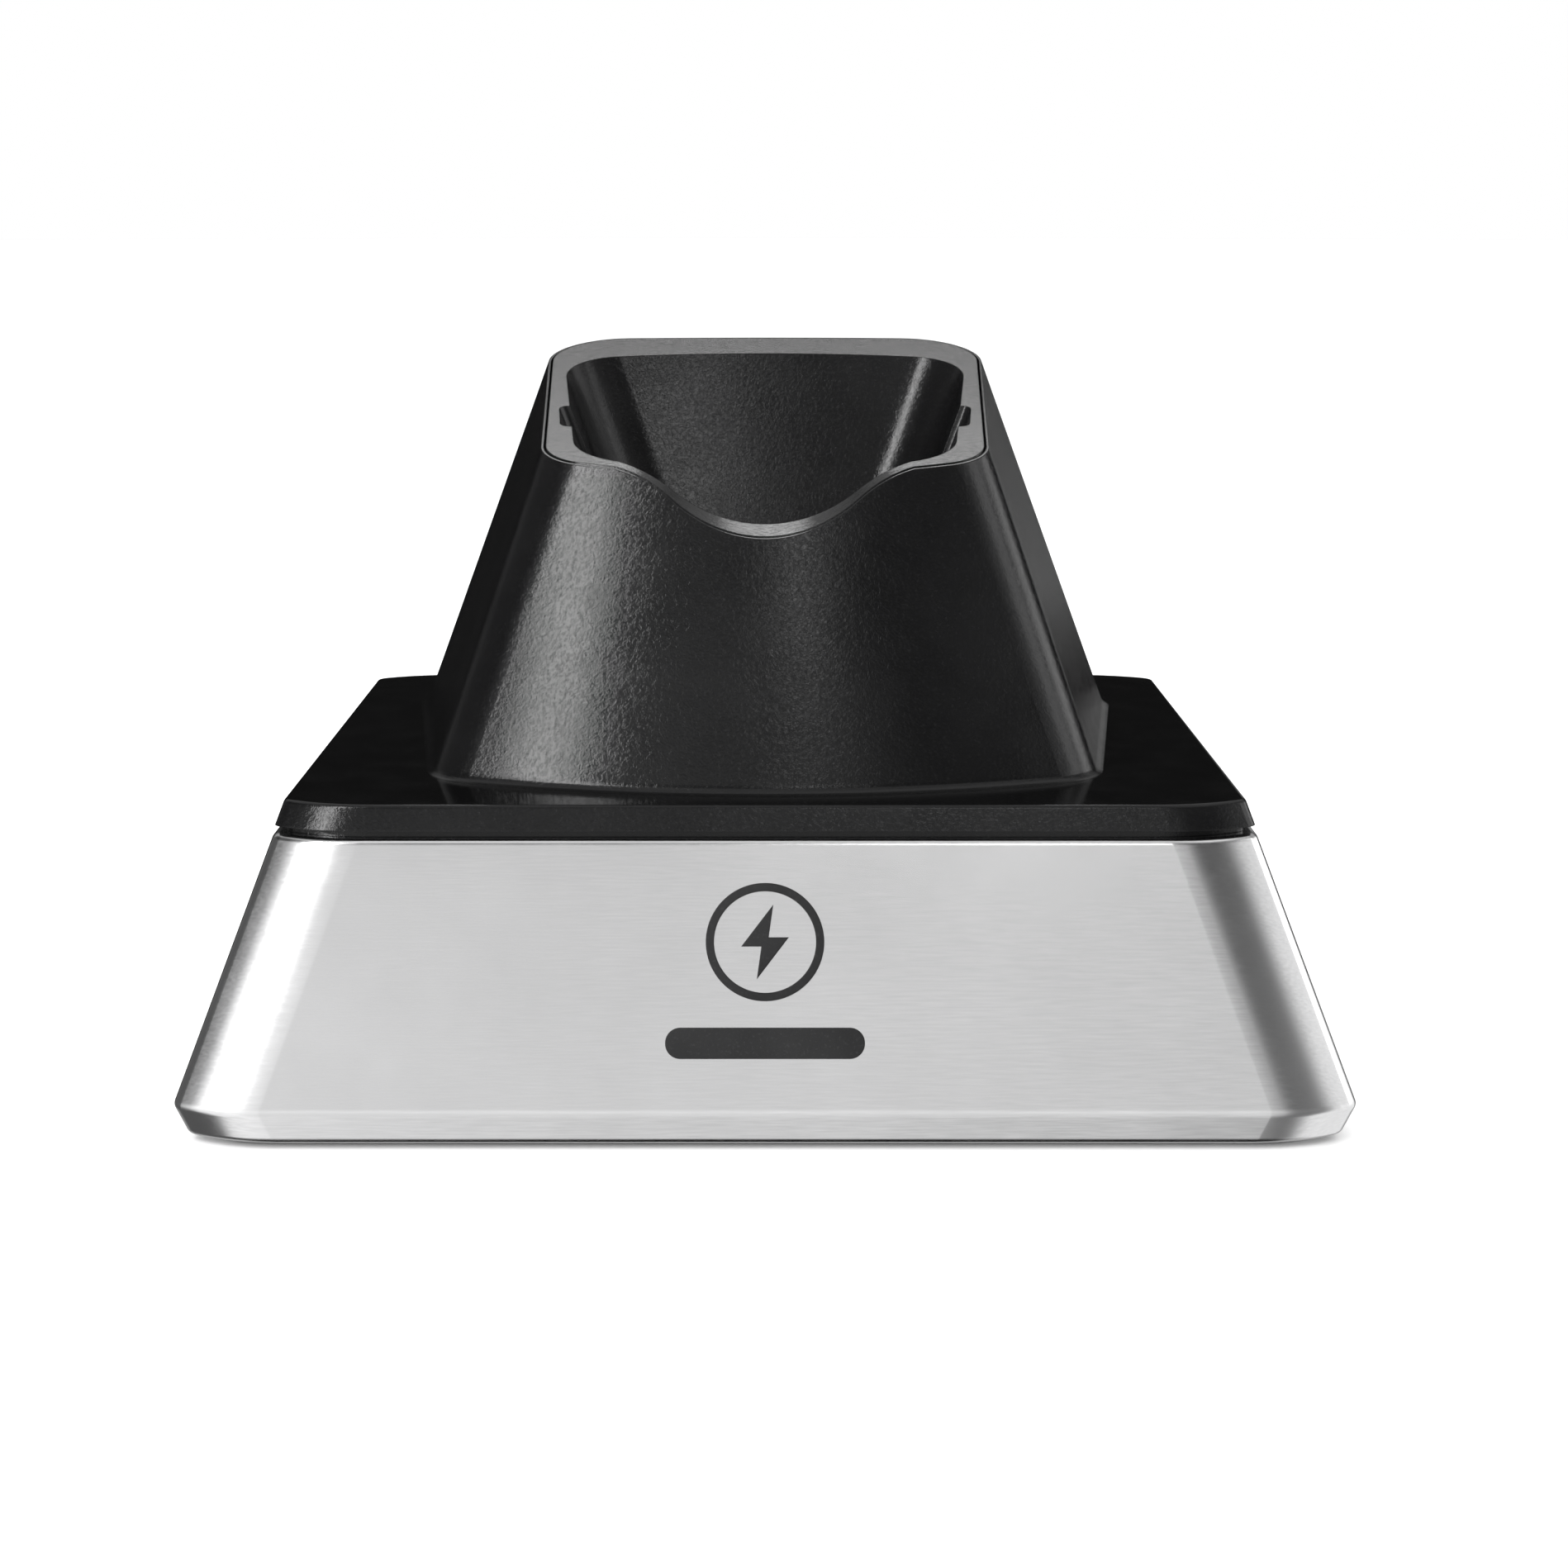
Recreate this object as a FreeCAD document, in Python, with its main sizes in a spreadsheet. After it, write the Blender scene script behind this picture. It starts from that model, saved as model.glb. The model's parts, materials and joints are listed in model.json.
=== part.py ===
import FreeCAD, Part
import math
import os
import re
import Sketcher

# Charging stand for a hair clipper.  Millimetres, +Z up, the front faces -Y.
# The origin is the centre of the footprint, on the surface that the stand rests on.

DIMENSIONS = [
    # base shell, the wide sloping housing
    ("base_half_x", 65.08, "half width at the crease before it is rounded, the widest level"),
    ("base_half_y", 56.58, "half depth at the crease before it is rounded"),
    ("corner_wide", 17.0, "wide arc of a base corner, at the front and back"),
    ("corner_tight", 2.0, "tight arc of a base corner, at the side"),
    ("corner_turn", 32.0, "turn of the wide arc, degrees"),
    ("base_low", 0.6, "height of the shell's lower edge"),
    ("base_crease", 4.5, "height of the crease"),
    ("base_top", 32.8, "height of the shell's upper edge"),
    ("base_draft", 20.0, "slope of the sides above and below the crease, degrees"),
    ("base_wall", 1.7, "wall thickness of the base shell"),
    ("base_straight", 13.0, "height where the cavity starts to follow the slope"),
    ("base_roof", 1.6, "thickness of the base shell's upper flange"),
    ("cavity_corner", 8.0, "corner radius of the cavity"),
    ("crease_round", 1.25, "rounding of the crease"),
    ("top_round", 0.8, "rounding of the upper edge"),
    ("low_round", 1.1, "rounding of the lower edge"),
    # base plate and what stands on it
    ("plate_low", 0.8, "underside of the base plate"),
    ("plate_top", 2.8, "upper side of the base plate"),
    ("plate_inset", 3.6, "plate edge in from the crease outline"),
    ("plate_corner", 6.4, "corner radius of the plate"),
    ("plate_gap", 0.2, "gap between the plate and the shell's rabbet"),
    ("post_x", 45.2, "screw posts, half spacing across"),
    ("post_y", 30.0, "screw posts, half spacing front to back"),
    ("post_foot", 8.0, "height where the two posts of a pair meet"),
    ("counterbore", 4.2, "depth of the recesses for the base screws"),
    ("foot_x", 50.0, "feet, half spacing across"),
    ("foot_y", 42.0, "feet, half spacing front to back"),
    ("foot_size", 6.0, "foot radius"),
    ("foot_height", 1.6, "foot height"),
    # deck, the black step on top of the base
    ("neck_top", 33.65, "upper end of the recessed neck"),
    ("deck_top", 36.44, "deck surface"),
    ("deck_half_x", 54.66, "deck half width at its lower edge"),
    ("deck_half_y", 46.2, "deck half depth at its lower edge"),
    ("neck_inset", 1.1, "neck in from the lower edge of the deck"),
    ("deck_ceiling", 33.9, "underside of the deck wall"),
    ("skirt_low", 29.0, "lower end of the locating skirt"),
    ("skirt_inset", 4.6, "skirt in from the lower edge of the deck"),
    ("skirt_wall", 1.5, "thickness of the skirt"),
    ("skirt_corner", 5.7, "corner radius of the skirt"),
    ("skirt_gap", 0.3, "gap between the skirt and its opening in the base"),
    ("overlap", 0.5, "how far solids run into each other before they are joined"),
    # tower, a tapering D in plan with its flat side at the back
    ("tower_front", 39.36, "front face at deck level, from the origin"),
    ("tower_back", 31.13, "back face at deck level"),
    ("tower_side", 42.09, "half width at deck level and mid depth"),
    ("tower_flare", 7.3, "angle by which the sides open towards the back"),
    ("front_bow", 81.3, "radius of the bowed front face"),
    ("front_draft", 20.0, "lean of the front face, degrees"),
    ("side_draft", 20.3, "lean of the sides"),
    ("back_draft", 3.1, "lean of the back face"),
    ("tower_back_bow", 600.0, "radius of the hardly bowed back face"),
    ("tower_corner_front", 8.0, "front corner radius"),
    ("tower_corner_back", 9.35, "back corner radius"),
    ("tower_wall", 2.2, "tower wall thickness"),
    ("tower_reach", 52.0, "height of the untrimmed tower above the deck"),
    ("foot_cove", 1.4, "cove radius between tower and deck"),
    ("deck_round", 0.5, "rounding of the deck's upper edge"),
    # rim, the tilted upper edge, and the scallop in its front
    ("rim_height", 79.62, "rim height at rim_station"),
    ("rim_station", 10.0, "distance behind the origin where rim_height holds"),
    ("rim_tilt", 13.2, "rise of the rim towards the back, degrees"),
    ("rim_lip", 0.32, "thin outer lip of the tower beside the liner's flange"),
    ("rim_gap", 0.2, "gap between lip and flange"),
    ("flange_thick", 2.2, "depth of the seat for the liner's flange"),
    ("flange_gap", 0.12, "gap below the flange"),
    ("scallop_half", 19.5, "half width of the scallop at its shoulders"),
    ("scallop_drop", 6.45, "depth of the scallop below its shoulders"),
    ("scallop_bow", 18.0, "radius of the scallop's bottom"),
    ("scallop_lift", 0.15, "shoulders of the scallop cut above the rim"),
    ("scallop_slope", 14.0, "fall of the scallop towards the front, degrees"),
    ("scallop_back", -13.0, "where the scallop cut ends, behind the front wall"),
    # cup: the funnel and the straight well below it
    ("cup_level", 78.0, "level at which the cup's plan is given"),
    ("cup_front", 24.8, "front of the cup, the same at every level"),
    ("cup_back", 19.5, "back of the cup's plan"),
    ("cup_side", 24.2, "half width of the cup's plan"),
    ("cup_flare", 0.5, "angle by which the cup's sides open towards the back"),
    ("cup_bow", 60.0, "radius of the cup's front"),
    ("cup_back_bow", 150.0, "radius of the cup's back"),
    ("cup_corner", 8.0, "corner radius of the cup's plan"),
    ("cup_draft", 20.0, "taper of the funnel, degrees"),
    ("cup_wall", 1.8, "wall thickness of the cup"),
    ("well_top", 57.0, "level where the funnel turns into the well"),
    ("well_floor", 41.0, "upper side of the well's floor"),
    ("well_under", 39.0, "underside of the well's floor"),
    ("key_y", -5.0, "centre of the key grooves, front to back"),
    ("key_half", 4.0, "half length of a key groove"),
    ("key_depth", 1.3, "depth of a key groove"),
    ("key_low", 66.0, "level where the key grooves run out"),
    ("bracket_x", 10.0, "screws through the bracket into the liner's tab, half spacing"),
    ("bracket_y", 22.0, "screws through the bracket, front to back"),
    ("bracket_low", 50.0, "underside of the bracket"),
    ("bracket_high", 54.0, "upper side of the bracket, where the liner's tab rests"),
    ("tab_half", 14.0, "half width of bracket and tab"),
    # contacts in the well's floor
    ("contact_x", 7.0, "contacts, half spacing"),
    ("contact_y", -2.5, "contacts, front to back"),
    ("pin_size", 1.5, "contact pin radius"),
    ("pin_top", 43.0, "top of a contact pin at rest"),
    ("pin_fit", 0.05, "radial clearance of a pin in its sleeve"),
    ("collar_size", 2.1, "radius of a pin's collar"),
    ("collar_height", 1.4, "height of a pin's collar"),
    ("pin_play", 0.02, "gap between collar and sleeve neck at rest"),
    ("terminal_length", 5.0, "length of a terminal below its sleeve"),
    ("sleeve_size", 3.0, "outer radius of a sleeve"),
    ("sleeve_low", 29.0, "lower end of a sleeve"),
    ("sleeve_neck", 36.0, "underside of a sleeve's neck"),
    ("sleeve_top", 38.5, "upper end of a sleeve"),
    ("spring_size", 1.75, "mean radius of a contact spring"),
    ("spring_wire", 0.18, "radius of the spring wire"),
    ("spring_pitch", 0.8, "pitch of a contact spring"),
    ("block_low", 28.0, "underside of the contact block"),
    ("block_top", 38.9, "upper side of the contact block"),
    ("ear_x", 22.0, "fixing screws of the contact block, half spacing"),
    # circuit board and power inlet
    ("board_low", 7.0, "underside of the circuit board"),
    ("board_top", 8.6, "upper side of the circuit board"),
    ("board_x", 27.0, "board half width"),
    ("board_y", 16.0, "board half depth"),
    ("board_centre", 28.0, "board centre, front to back"),
    ("board_hole_x", 23.0, "standoffs of the board, half spacing across"),
    ("board_hole_y", 13.0, "standoffs of the board, half spacing front to back"),
    ("plug_y", 20.0, "wire plug and its header, front to back"),
    ("plug_half", 2.1, "wire plug, half depth"),
    ("plug_pole", 1.6, "wires, half spacing at the plug"),
    ("plug_exit", 15.6, "height at which the wires enter the plug"),
    ("wire_size", 0.7, "radius of a wire"),
    ("jack_level", 15.1, "height of the power inlet's axis"),
    ("jack_face", 45.7, "rear face of the jack"),
    ("jack_bore", 2.75, "radius of the jack's bore"),
    ("jack_depth", 10.0, "depth of the jack's bore"),
    ("jack_half", 4.5, "half width of the jack and its height above the axis"),
    ("bezel_bore", 5.5, "radius of the inlet recess"),
    ("bezel_size", 6.5, "outer radius of the inlet's ring"),
    ("bezel_front", 46.0, "inner end of the inlet's ring"),
    ("bezel_back", 51.0, "outer end of the inlet's ring"),
    # ballast
    ("ballast_x", 38.0, "ballast half width"),
    ("ballast_y", 20.0, "ballast half depth"),
    ("ballast_centre", -22.0, "ballast centre, front to back"),
    ("ballast_top", 7.8, "upper side of the ballast"),
    ("stud_x", 30.0, "studs that locate the ballast, half spacing"),
    # badge on the front slope
    ("badge_bar", 7.7, "bar of the badge, distance up the slope from the crease"),
    ("badge_emblem", 18.8, "round emblem, distance up the slope from the crease"),
    ("badge_thick", 0.15, "thickness of the badge foil"),
]

NAMES = {alias for alias, _, _ in DIMENSIONS}
ROUND_STEPS = 5
CREASE_STEPS = 4

doc = FreeCAD.newDocument("charging_stand")
sheet = doc.addObject("Spreadsheet::Sheet", "dims")
for row, (alias, amount, note) in enumerate(DIMENSIONS, start=1):
    sheet.set(f"A{row}", note)
    sheet.set(f"B{row}", str(amount))
    sheet.setAlias(f"B{row}", alias)
doc.recompute()

parts = []


# ---------------------------------------------------------------- expressions

def expr(text):
    """The text with every sheet alias written as the sheet's own cell."""
    return re.sub(r"[a-z_]+", lambda m: f"dims.{m.group()}" if m.group() in NAMES else m.group(), str(text))


def number(text):
    """What an expression over the sheet is worth now."""
    result = sheet.evalExpression(expr(text))
    return float(getattr(result, "Value", result))


def bind(obj, **properties):
    """Bind properties of an object to expressions over the sheet."""
    for name, text in properties.items():
        obj.setExpression(name, expr(text))
    return obj


def vector(x, y, z):
    """A point whose coordinates are numbers or expressions."""
    return FreeCAD.Vector(number(x), number(y), number(z))


def publish(obj, label):
    """Name an object as a sub-part of the stand."""
    obj.Label = label
    parts.append(obj)
    return obj


# ------------------------------------------------------------------- sketches

PLANE_TURNS = {
    "XY": FreeCAD.Rotation(),
    "XZ": FreeCAD.Rotation(FreeCAD.Vector(1, 0, 0), 90),
    "YZ": FreeCAD.Rotation(FreeCAD.Vector(1, 1, 1), 120),
}


def new_sketch(owner, name, plane="XY", level="0"):
    """A sketch in a body, or in the document when owner is None, parallel to a main plane.

    XY looks down with x to the right, XZ holds x and z, YZ holds y and z.
    The level is the sketch plane's z, y or x."""
    if owner is None:
        sketch = doc.addObject("Sketcher::SketchObject", name)
        sketch.Placement = FreeCAD.Placement(FreeCAD.Vector(), PLANE_TURNS[plane])
        axis = {"XY": "z", "XZ": "y", "YZ": "x"}[plane]
        sketch.setExpression(f".Placement.Base.{axis}", expr(level))
        return sketch
    sketch = owner.newObject("Sketcher::SketchObject", name)
    base = next(f for f in owner.Origin.OriginFeatures if f.Role == f"{plane}_Plane")
    sketch.AttachmentSupport = [(base, "")]
    sketch.MapMode = "FlatFace"
    sign = "-1*" if plane == "XZ" else ""
    sketch.setExpression(".AttachmentOffset.Base.z", expr(f"{sign}({level})"))
    return sketch


def constrain(sketch, kind, where, text):
    """Add a constraint whose value is bound to an expression."""
    amount = math.radians(number(text)) if kind == "Angle" else number(text)
    index = sketch.addConstraint(Sketcher.Constraint(kind, *where, amount))
    name = f"size_{index}"
    sketch.renameConstraint(index, name)
    unit = " * 1 deg" if kind == "Angle" else ""
    sketch.setExpression(f"Constraints.{name}", f"({expr(text)}){unit}")


def arc(x, y, radius, start, end):
    """An arc of a circle in the sketch plane, angles in radians."""
    return Part.ArcOfCircle(Part.Circle(FreeCAD.Vector(x, y, 0), FreeCAD.Vector(0, 0, 1), radius), start, end)


def polar(x, y, radius, angle):
    return FreeCAD.Vector(x + radius * math.cos(angle), y + radius * math.sin(angle), 0)


def rounded_rectangle(sketch, half_x, half_y, radius, centre_x="0", centre_y="0"):
    """A rectangle with round corners, its four sides and radius bound to expressions."""
    dx, dy, r, cx, cy = (number(t) for t in (half_x, half_y, radius, centre_x, centre_y))
    first = sketch.GeometryCount
    signs = [(1, -1), (1, 1), (-1, 1), (-1, -1)]
    centres = [(cx + sx * (dx - r), cy + sy * (dy - r)) for sx, sy in signs]
    geometry = []
    for k, (x, y) in enumerate(centres):
        start = math.radians(90 * (k - 1))
        end = start + math.pi / 2
        following = centres[(k + 1) % 4]
        geometry.append(arc(x, y, r, start, end))
        geometry.append(Part.LineSegment(polar(x, y, r, end), polar(*following, r, end)))
    sketch.addGeometry(geometry, False)
    for k in range(8):
        sketch.addConstraint(Sketcher.Constraint("Tangent", first + k, 2, first + (k + 1) % 8, 1))
    for k, kind in ((1, "Vertical"), (3, "Horizontal"), (5, "Vertical"), (7, "Horizontal")):
        sketch.addConstraint(Sketcher.Constraint(kind, first + k))
    for k in (2, 4, 6):
        sketch.addConstraint(Sketcher.Constraint("Equal", first, first + k))
    constrain(sketch, "Radius", (first,), radius)
    constrain(sketch, "DistanceX", (-1, 1, first + 1, 1), f"({centre_x}) + ({half_x})")
    constrain(sketch, "DistanceY", (-1, 1, first + 3, 1), f"({centre_y}) + ({half_y})")
    constrain(sketch, "DistanceX", (-1, 1, first + 5, 1), f"({centre_x}) - ({half_x})")
    constrain(sketch, "DistanceY", (-1, 1, first + 7, 1), f"({centre_y}) - ({half_y})")


def two_arc_rectangle(sketch, half_x, half_y):
    """A rectangle whose corners run from a wide arc at front and back into a tight one at the side."""
    reach = "(corner_wide * sin(corner_turn) + corner_tight * (1 - sin(corner_turn)))"
    drop = "(corner_wide * (1 - cos(corner_turn)) + corner_tight * cos(corner_turn))"
    dx, dy, wide, tight, reach_x, reach_y = (
        number(t) for t in (half_x, half_y, "corner_wide", "corner_tight", reach, drop))
    turn = math.radians(number("corner_turn"))
    arcs = []
    for k, (sx, sy) in enumerate([(1, -1), (1, 1), (-1, 1), (-1, -1)]):
        pair = [(sx * (dx - reach_x), sy * (dy - wide), wide, turn),
                (sx * (dx - tight), sy * (dy - reach_y), tight, math.pi / 2 - turn)]
        angle = math.pi / 2 * (k - 1)
        for x, y, radius, sweep in pair if k % 2 == 0 else reversed(pair):
            arcs.append((x, y, radius, angle, angle + sweep))
            angle += sweep
    geometry = []
    for k, (x, y, radius, start, end) in enumerate(arcs):
        geometry.append(arc(x, y, radius, start, end))
        if k % 2 == 1:
            next_x, next_y, next_radius, next_start, _ = arcs[(k + 1) % 8]
            geometry.append(Part.LineSegment(polar(x, y, radius, end),
                                             polar(next_x, next_y, next_radius, next_start)))
    sketch.addGeometry(geometry, False)
    for k in range(12):
        sketch.addConstraint(Sketcher.Constraint("Tangent", k, 2, (k + 1) % 12, 1))
    for k, kind in ((2, "Vertical"), (5, "Horizontal"), (8, "Vertical"), (11, "Horizontal")):
        sketch.addConstraint(Sketcher.Constraint(kind, k))
    wide_arcs, tight_arcs = (0, 4, 6, 10), (1, 3, 7, 9)
    for group, radius in ((wide_arcs, "corner_wide"), (tight_arcs, "corner_tight")):
        constrain(sketch, "Radius", group[:1], radius)
        for k in group[1:]:
            sketch.addConstraint(Sketcher.Constraint("Equal", group[0], k))
    for k, sign in zip(wide_arcs, ("", "", "-1 * ", "-1 * ")):
        constrain(sketch, "DistanceX", (-1, 1, k, 3), f"{sign}(({half_x}) - {reach})")
    constrain(sketch, "DistanceX", (-1, 1, 2, 1), half_x)
    constrain(sketch, "DistanceY", (-1, 1, 5, 1), half_y)
    constrain(sketch, "DistanceX", (-1, 1, 8, 1), f"-1 * ({half_x})")
    constrain(sketch, "DistanceY", (-1, 1, 11, 1), f"-1 * ({half_y})")


def circle(sketch, x, y, radius):
    """A circle with its centre and radius bound to expressions."""
    geometry = Part.Circle(FreeCAD.Vector(number(x), number(y), 0), FreeCAD.Vector(0, 0, 1), number(radius))
    index = sketch.addGeometry(geometry, False)
    constrain(sketch, "Radius", (index,), radius)
    constrain(sketch, "DistanceX", (-1, 1, index, 3), x)
    constrain(sketch, "DistanceY", (-1, 1, index, 3), y)


def polygon(sketch, points):
    """A closed polygon, every corner bound to a pair of expressions."""
    corners = [FreeCAD.Vector(number(x), number(y), 0) for x, y in points]
    first = sketch.GeometryCount
    count = len(points)
    for k in range(count):
        sketch.addGeometry(Part.LineSegment(corners[k], corners[(k + 1) % count]), False)
    for k in range(count):
        following = first + (k + 1) % count
        sketch.addConstraint(Sketcher.Constraint("Coincident", first + k, 2, following, 1))
    for k, (x, y) in enumerate(points):
        constrain(sketch, "DistanceX", (-1, 1, first + k, 1), x)
        constrain(sketch, "DistanceY", (-1, 1, first + k, 1), y)


def corner_between(offset, slope, bow_y, reach, sign):
    """Centre of a corner arc that touches a slanted side and a bow about (0, bow_y)."""
    a = slope * slope + 1
    b = 2 * (offset * slope - bow_y)
    c = offset * offset + bow_y ** 2 - reach ** 2
    y = (-b + sign * math.sqrt(b * b - 4 * a * c)) / (2 * a)
    return offset + slope * y, y


def bowed_outline(sketch, front, bow, side, flare, front_corner, back, back_bow, back_corner):
    """Bowed front and back, straight sides that open towards the back, round corners.

    front and back are distances from the origin, side is the half width at y = 0."""
    front_y, back_y = f"({bow}) - ({front})", f"({back}) - ({back_bow})"
    y_front, r_bow, half, angle, r_front, y_back, r_rear, r_back = (
        number(t) for t in (front_y, bow, side, flare, front_corner, back_y, back_bow, back_corner))
    slope = math.tan(math.radians(angle))
    length = math.hypot(1, slope)
    x1, y1 = corner_between(half - r_front * length, slope, y_front, r_bow - r_front, -1)
    x2, y2 = corner_between(half - r_back * length, slope, y_back, r_rear - r_back, 1)
    turn_front = math.atan2(y1 - y_front, x1)
    turn_side = math.atan2(-slope, 1)
    turn_back = math.atan2(y2 - y_back, x2)
    mirror = math.pi
    sketch.addGeometry([
        arc(0, y_front, r_bow, -mirror - turn_front, turn_front),
        arc(x1, y1, r_front, turn_front, turn_side),
        Part.LineSegment(polar(x1, y1, r_front, turn_side), polar(x2, y2, r_back, turn_side)),
        arc(x2, y2, r_back, turn_side, turn_back),
        arc(0, y_back, r_rear, turn_back, mirror - turn_back),
        arc(-x2, y2, r_back, mirror - turn_back, mirror - turn_side),
        Part.LineSegment(polar(-x2, y2, r_back, mirror - turn_side),
                         polar(-x1, y1, r_front, mirror - turn_side)),
        arc(-x1, y1, r_front, mirror - turn_side, mirror - turn_front),
    ], False)
    for k in range(8):
        sketch.addConstraint(Sketcher.Constraint("Tangent", k, 2, (k + 1) % 8, 1))
    for k in (0, 4):
        sketch.addConstraint(Sketcher.Constraint("PointOnObject", k, 3, -2))
    sketch.addConstraint(Sketcher.Constraint("Symmetric", 2, 1, 6, 2, -2))
    sketch.addConstraint(Sketcher.Constraint("Symmetric", 2, 2, 6, 1, -2))
    for k, radius in ((0, bow), (1, front_corner), (3, back_corner), (4, back_bow)):
        constrain(sketch, "Radius", (k,), radius)
    constrain(sketch, "DistanceY", (-1, 1, 0, 3), front_y)
    constrain(sketch, "DistanceY", (-1, 1, 4, 3), back_y)
    constrain(sketch, "Angle", (2,), f"90 - ({flare})")
    constrain(sketch, "Distance", (-1, 1, 2), f"({side}) * cos({flare})")


# ------------------------------------------------------------ body features

def new_body(label):
    """An empty PartDesign body that will be one sub-part."""
    return publish(doc.addObject("PartDesign::Body", label), label)


def feature(body, kind, name, sketch, reverse=False, **sizes):
    """A sketched feature; one that removes material must make the body smaller."""
    removing = kind in ("Pocket", "Groove", "SubtractiveLoft")
    before = body.Shape.Volume if removing else 0
    item = body.newObject(f"PartDesign::{kind}", name)
    item.Profile = sketch
    if reverse:
        item.Reversed = True
    bind(item, **sizes)
    doc.recompute()
    if removing and body.Shape.Volume > before - 0.01:
        raise RuntimeError(f"{body.Label}: {name} removes nothing")
    return item


def loft(body, name, sketches, removing=False):
    """A straight-sided loft through several sketches of one body."""
    before = body.Shape.Volume if removing else 0
    kind = "SubtractiveLoft" if removing else "AdditiveLoft"
    item = body.newObject(f"PartDesign::{kind}", name)
    item.Profile = sketches[0]
    item.Sections = sketches[1:]
    item.Ruled = True
    doc.recompute()
    if removing and body.Shape.Volume > before - 0.01:
        raise RuntimeError(f"{body.Label}: {name} removes nothing")
    return item


def round_edges(body, name, radius, wanted):
    """Round the edges of a body for which wanted(edge) is true."""
    tip = body.Tip
    edges = [f"Edge{k}" for k, edge in enumerate(tip.Shape.Edges, start=1) if wanted(edge)]
    if not edges:
        raise RuntimeError(f"{body.Label}: {name} finds no edge")
    item = body.newObject("PartDesign::Fillet", name)
    item.Base = (tip, edges)
    bind(item, Radius=radius)
    doc.recompute()
    return item


def revolved(label, profile, axis_x="0", axis_y="0"):
    """A body turned about a vertical axis; the profile is (radius, z) pairs."""
    body = new_body(label)
    sketch = new_sketch(body, f"{label}_profile", "XZ", axis_y)
    polygon(sketch, [(f"({axis_x}) + ({radius})", z) for radius, z in profile])
    axis = Part.LineSegment(vector(axis_x, "0", "0"), vector(axis_x, "10", "0"))
    index = sketch.addGeometry(axis, True)
    sketch.addConstraint(Sketcher.Constraint("Vertical", index))
    sketch.addConstraint(Sketcher.Constraint("PointOnObject", index, 1, -1))
    constrain(sketch, "DistanceX", (-1, 1, index, 1), axis_x)
    constrain(sketch, "DistanceY", (index, 1, index, 2), "10")
    item = body.newObject("PartDesign::Revolution", f"{label}_turn")
    item.Profile = sketch
    item.ReferenceAxis = (sketch, ["Axis0"])
    item.Angle = 360
    doc.recompute()
    return body


def at_height(z):
    """A test for edges that lie wholly in one horizontal plane."""
    return lambda edge: abs(edge.BoundBox.ZMin - z) < 0.01 and abs(edge.BoundBox.ZMax - z) < 0.01


# ------------------------------------------------- solids combined by booleans

def lofted_solid(name, sketches):
    item = doc.addObject("Part::Loft", name)
    item.Sections = sketches
    item.Solid = True
    item.Ruled = True
    return item


def extruded(name, sketch, length, symmetric=False):
    """A solid from a sketch, pushed along its normal or evenly to both sides."""
    item = doc.addObject("Part::Extrusion", name)
    item.Base = sketch
    item.DirMode = "Normal"
    item.Solid = True
    item.Symmetric = symmetric
    return bind(item, LengthFwd=length)


def box(name, low, size):
    """A box from its low corner and its three sizes, all expressions."""
    item = doc.addObject("Part::Box", name)
    bind(item, Length=size[0], Width=size[1], Height=size[2])
    for axis, text in zip("xyz", low):
        item.setExpression(f".Placement.Base.{axis}", expr(text))
    return item


def cylinder(name, x, y, z, radius, height):
    item = doc.addObject("Part::Cylinder", name)
    bind(item, Radius=radius, Height=height)
    for axis, text in zip("xyz", (x, y, z)):
        item.setExpression(f".Placement.Base.{axis}", expr(text))
    return item


def cut(name, base, tool):
    item = doc.addObject("Part::Cut", name)
    item.Base = base
    item.Tool = tool
    return item


def cut_all(name, base, tools):
    """Take several solids away, one after the other."""
    for tool in tools:
        base = cut(name, base, tool)
    return base


def common(name, base, tool):
    item = doc.addObject("Part::Common", name)
    item.Base = base
    item.Tool = tool
    return item


def fuse(name, shapes):
    item = doc.addObject("Part::MultiFuse", name)
    item.Shapes = shapes
    item.Refine = True
    return item


# --------------------------------------------------------------- base housing

def base_outline(body, name, z, inset):
    """The base's outline at a level, moved in by inset; it slopes in above and below the crease."""
    sketch = new_sketch(body, name, "XY", z)
    slope = f"abs(({z}) - base_crease) * tan(base_draft) + {inset}"
    two_arc_rectangle(sketch, f"base_half_x - ({slope})", f"base_half_y - ({slope})")
    return sketch


def cavity_outline(body, name, z):
    """The outline of the base's cavity at a level above the crease."""
    sketch = new_sketch(body, name, "XY", z)
    inset = f"(base_wall + (({z}) - base_crease) * tan(base_draft))"
    rounded_rectangle(sketch, f"base_half_x - {inset}", f"base_half_y - {inset}", "cavity_corner")
    return sketch


def rounding(radius, draft):
    """Stations of a round edge between a horizontal face and one that leans by draft.

    Each is (distance from the horizontal face, how far the edge stands in from the
    leaning face there), both as expressions, from the leaning face to the flat one."""
    stations = []
    for k in range(ROUND_STEPS + 1):
        turn = f"({draft} + (90 - {draft}) * {k} / {ROUND_STEPS})"
        depth = f"({radius} * (1 - sin({turn})))"
        inset = f"({radius} / cos({draft}) - {radius} * cos({turn}) + ({depth} - {radius}) * tan({draft}))"
        stations.append((depth, inset))
    return stations


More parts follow.
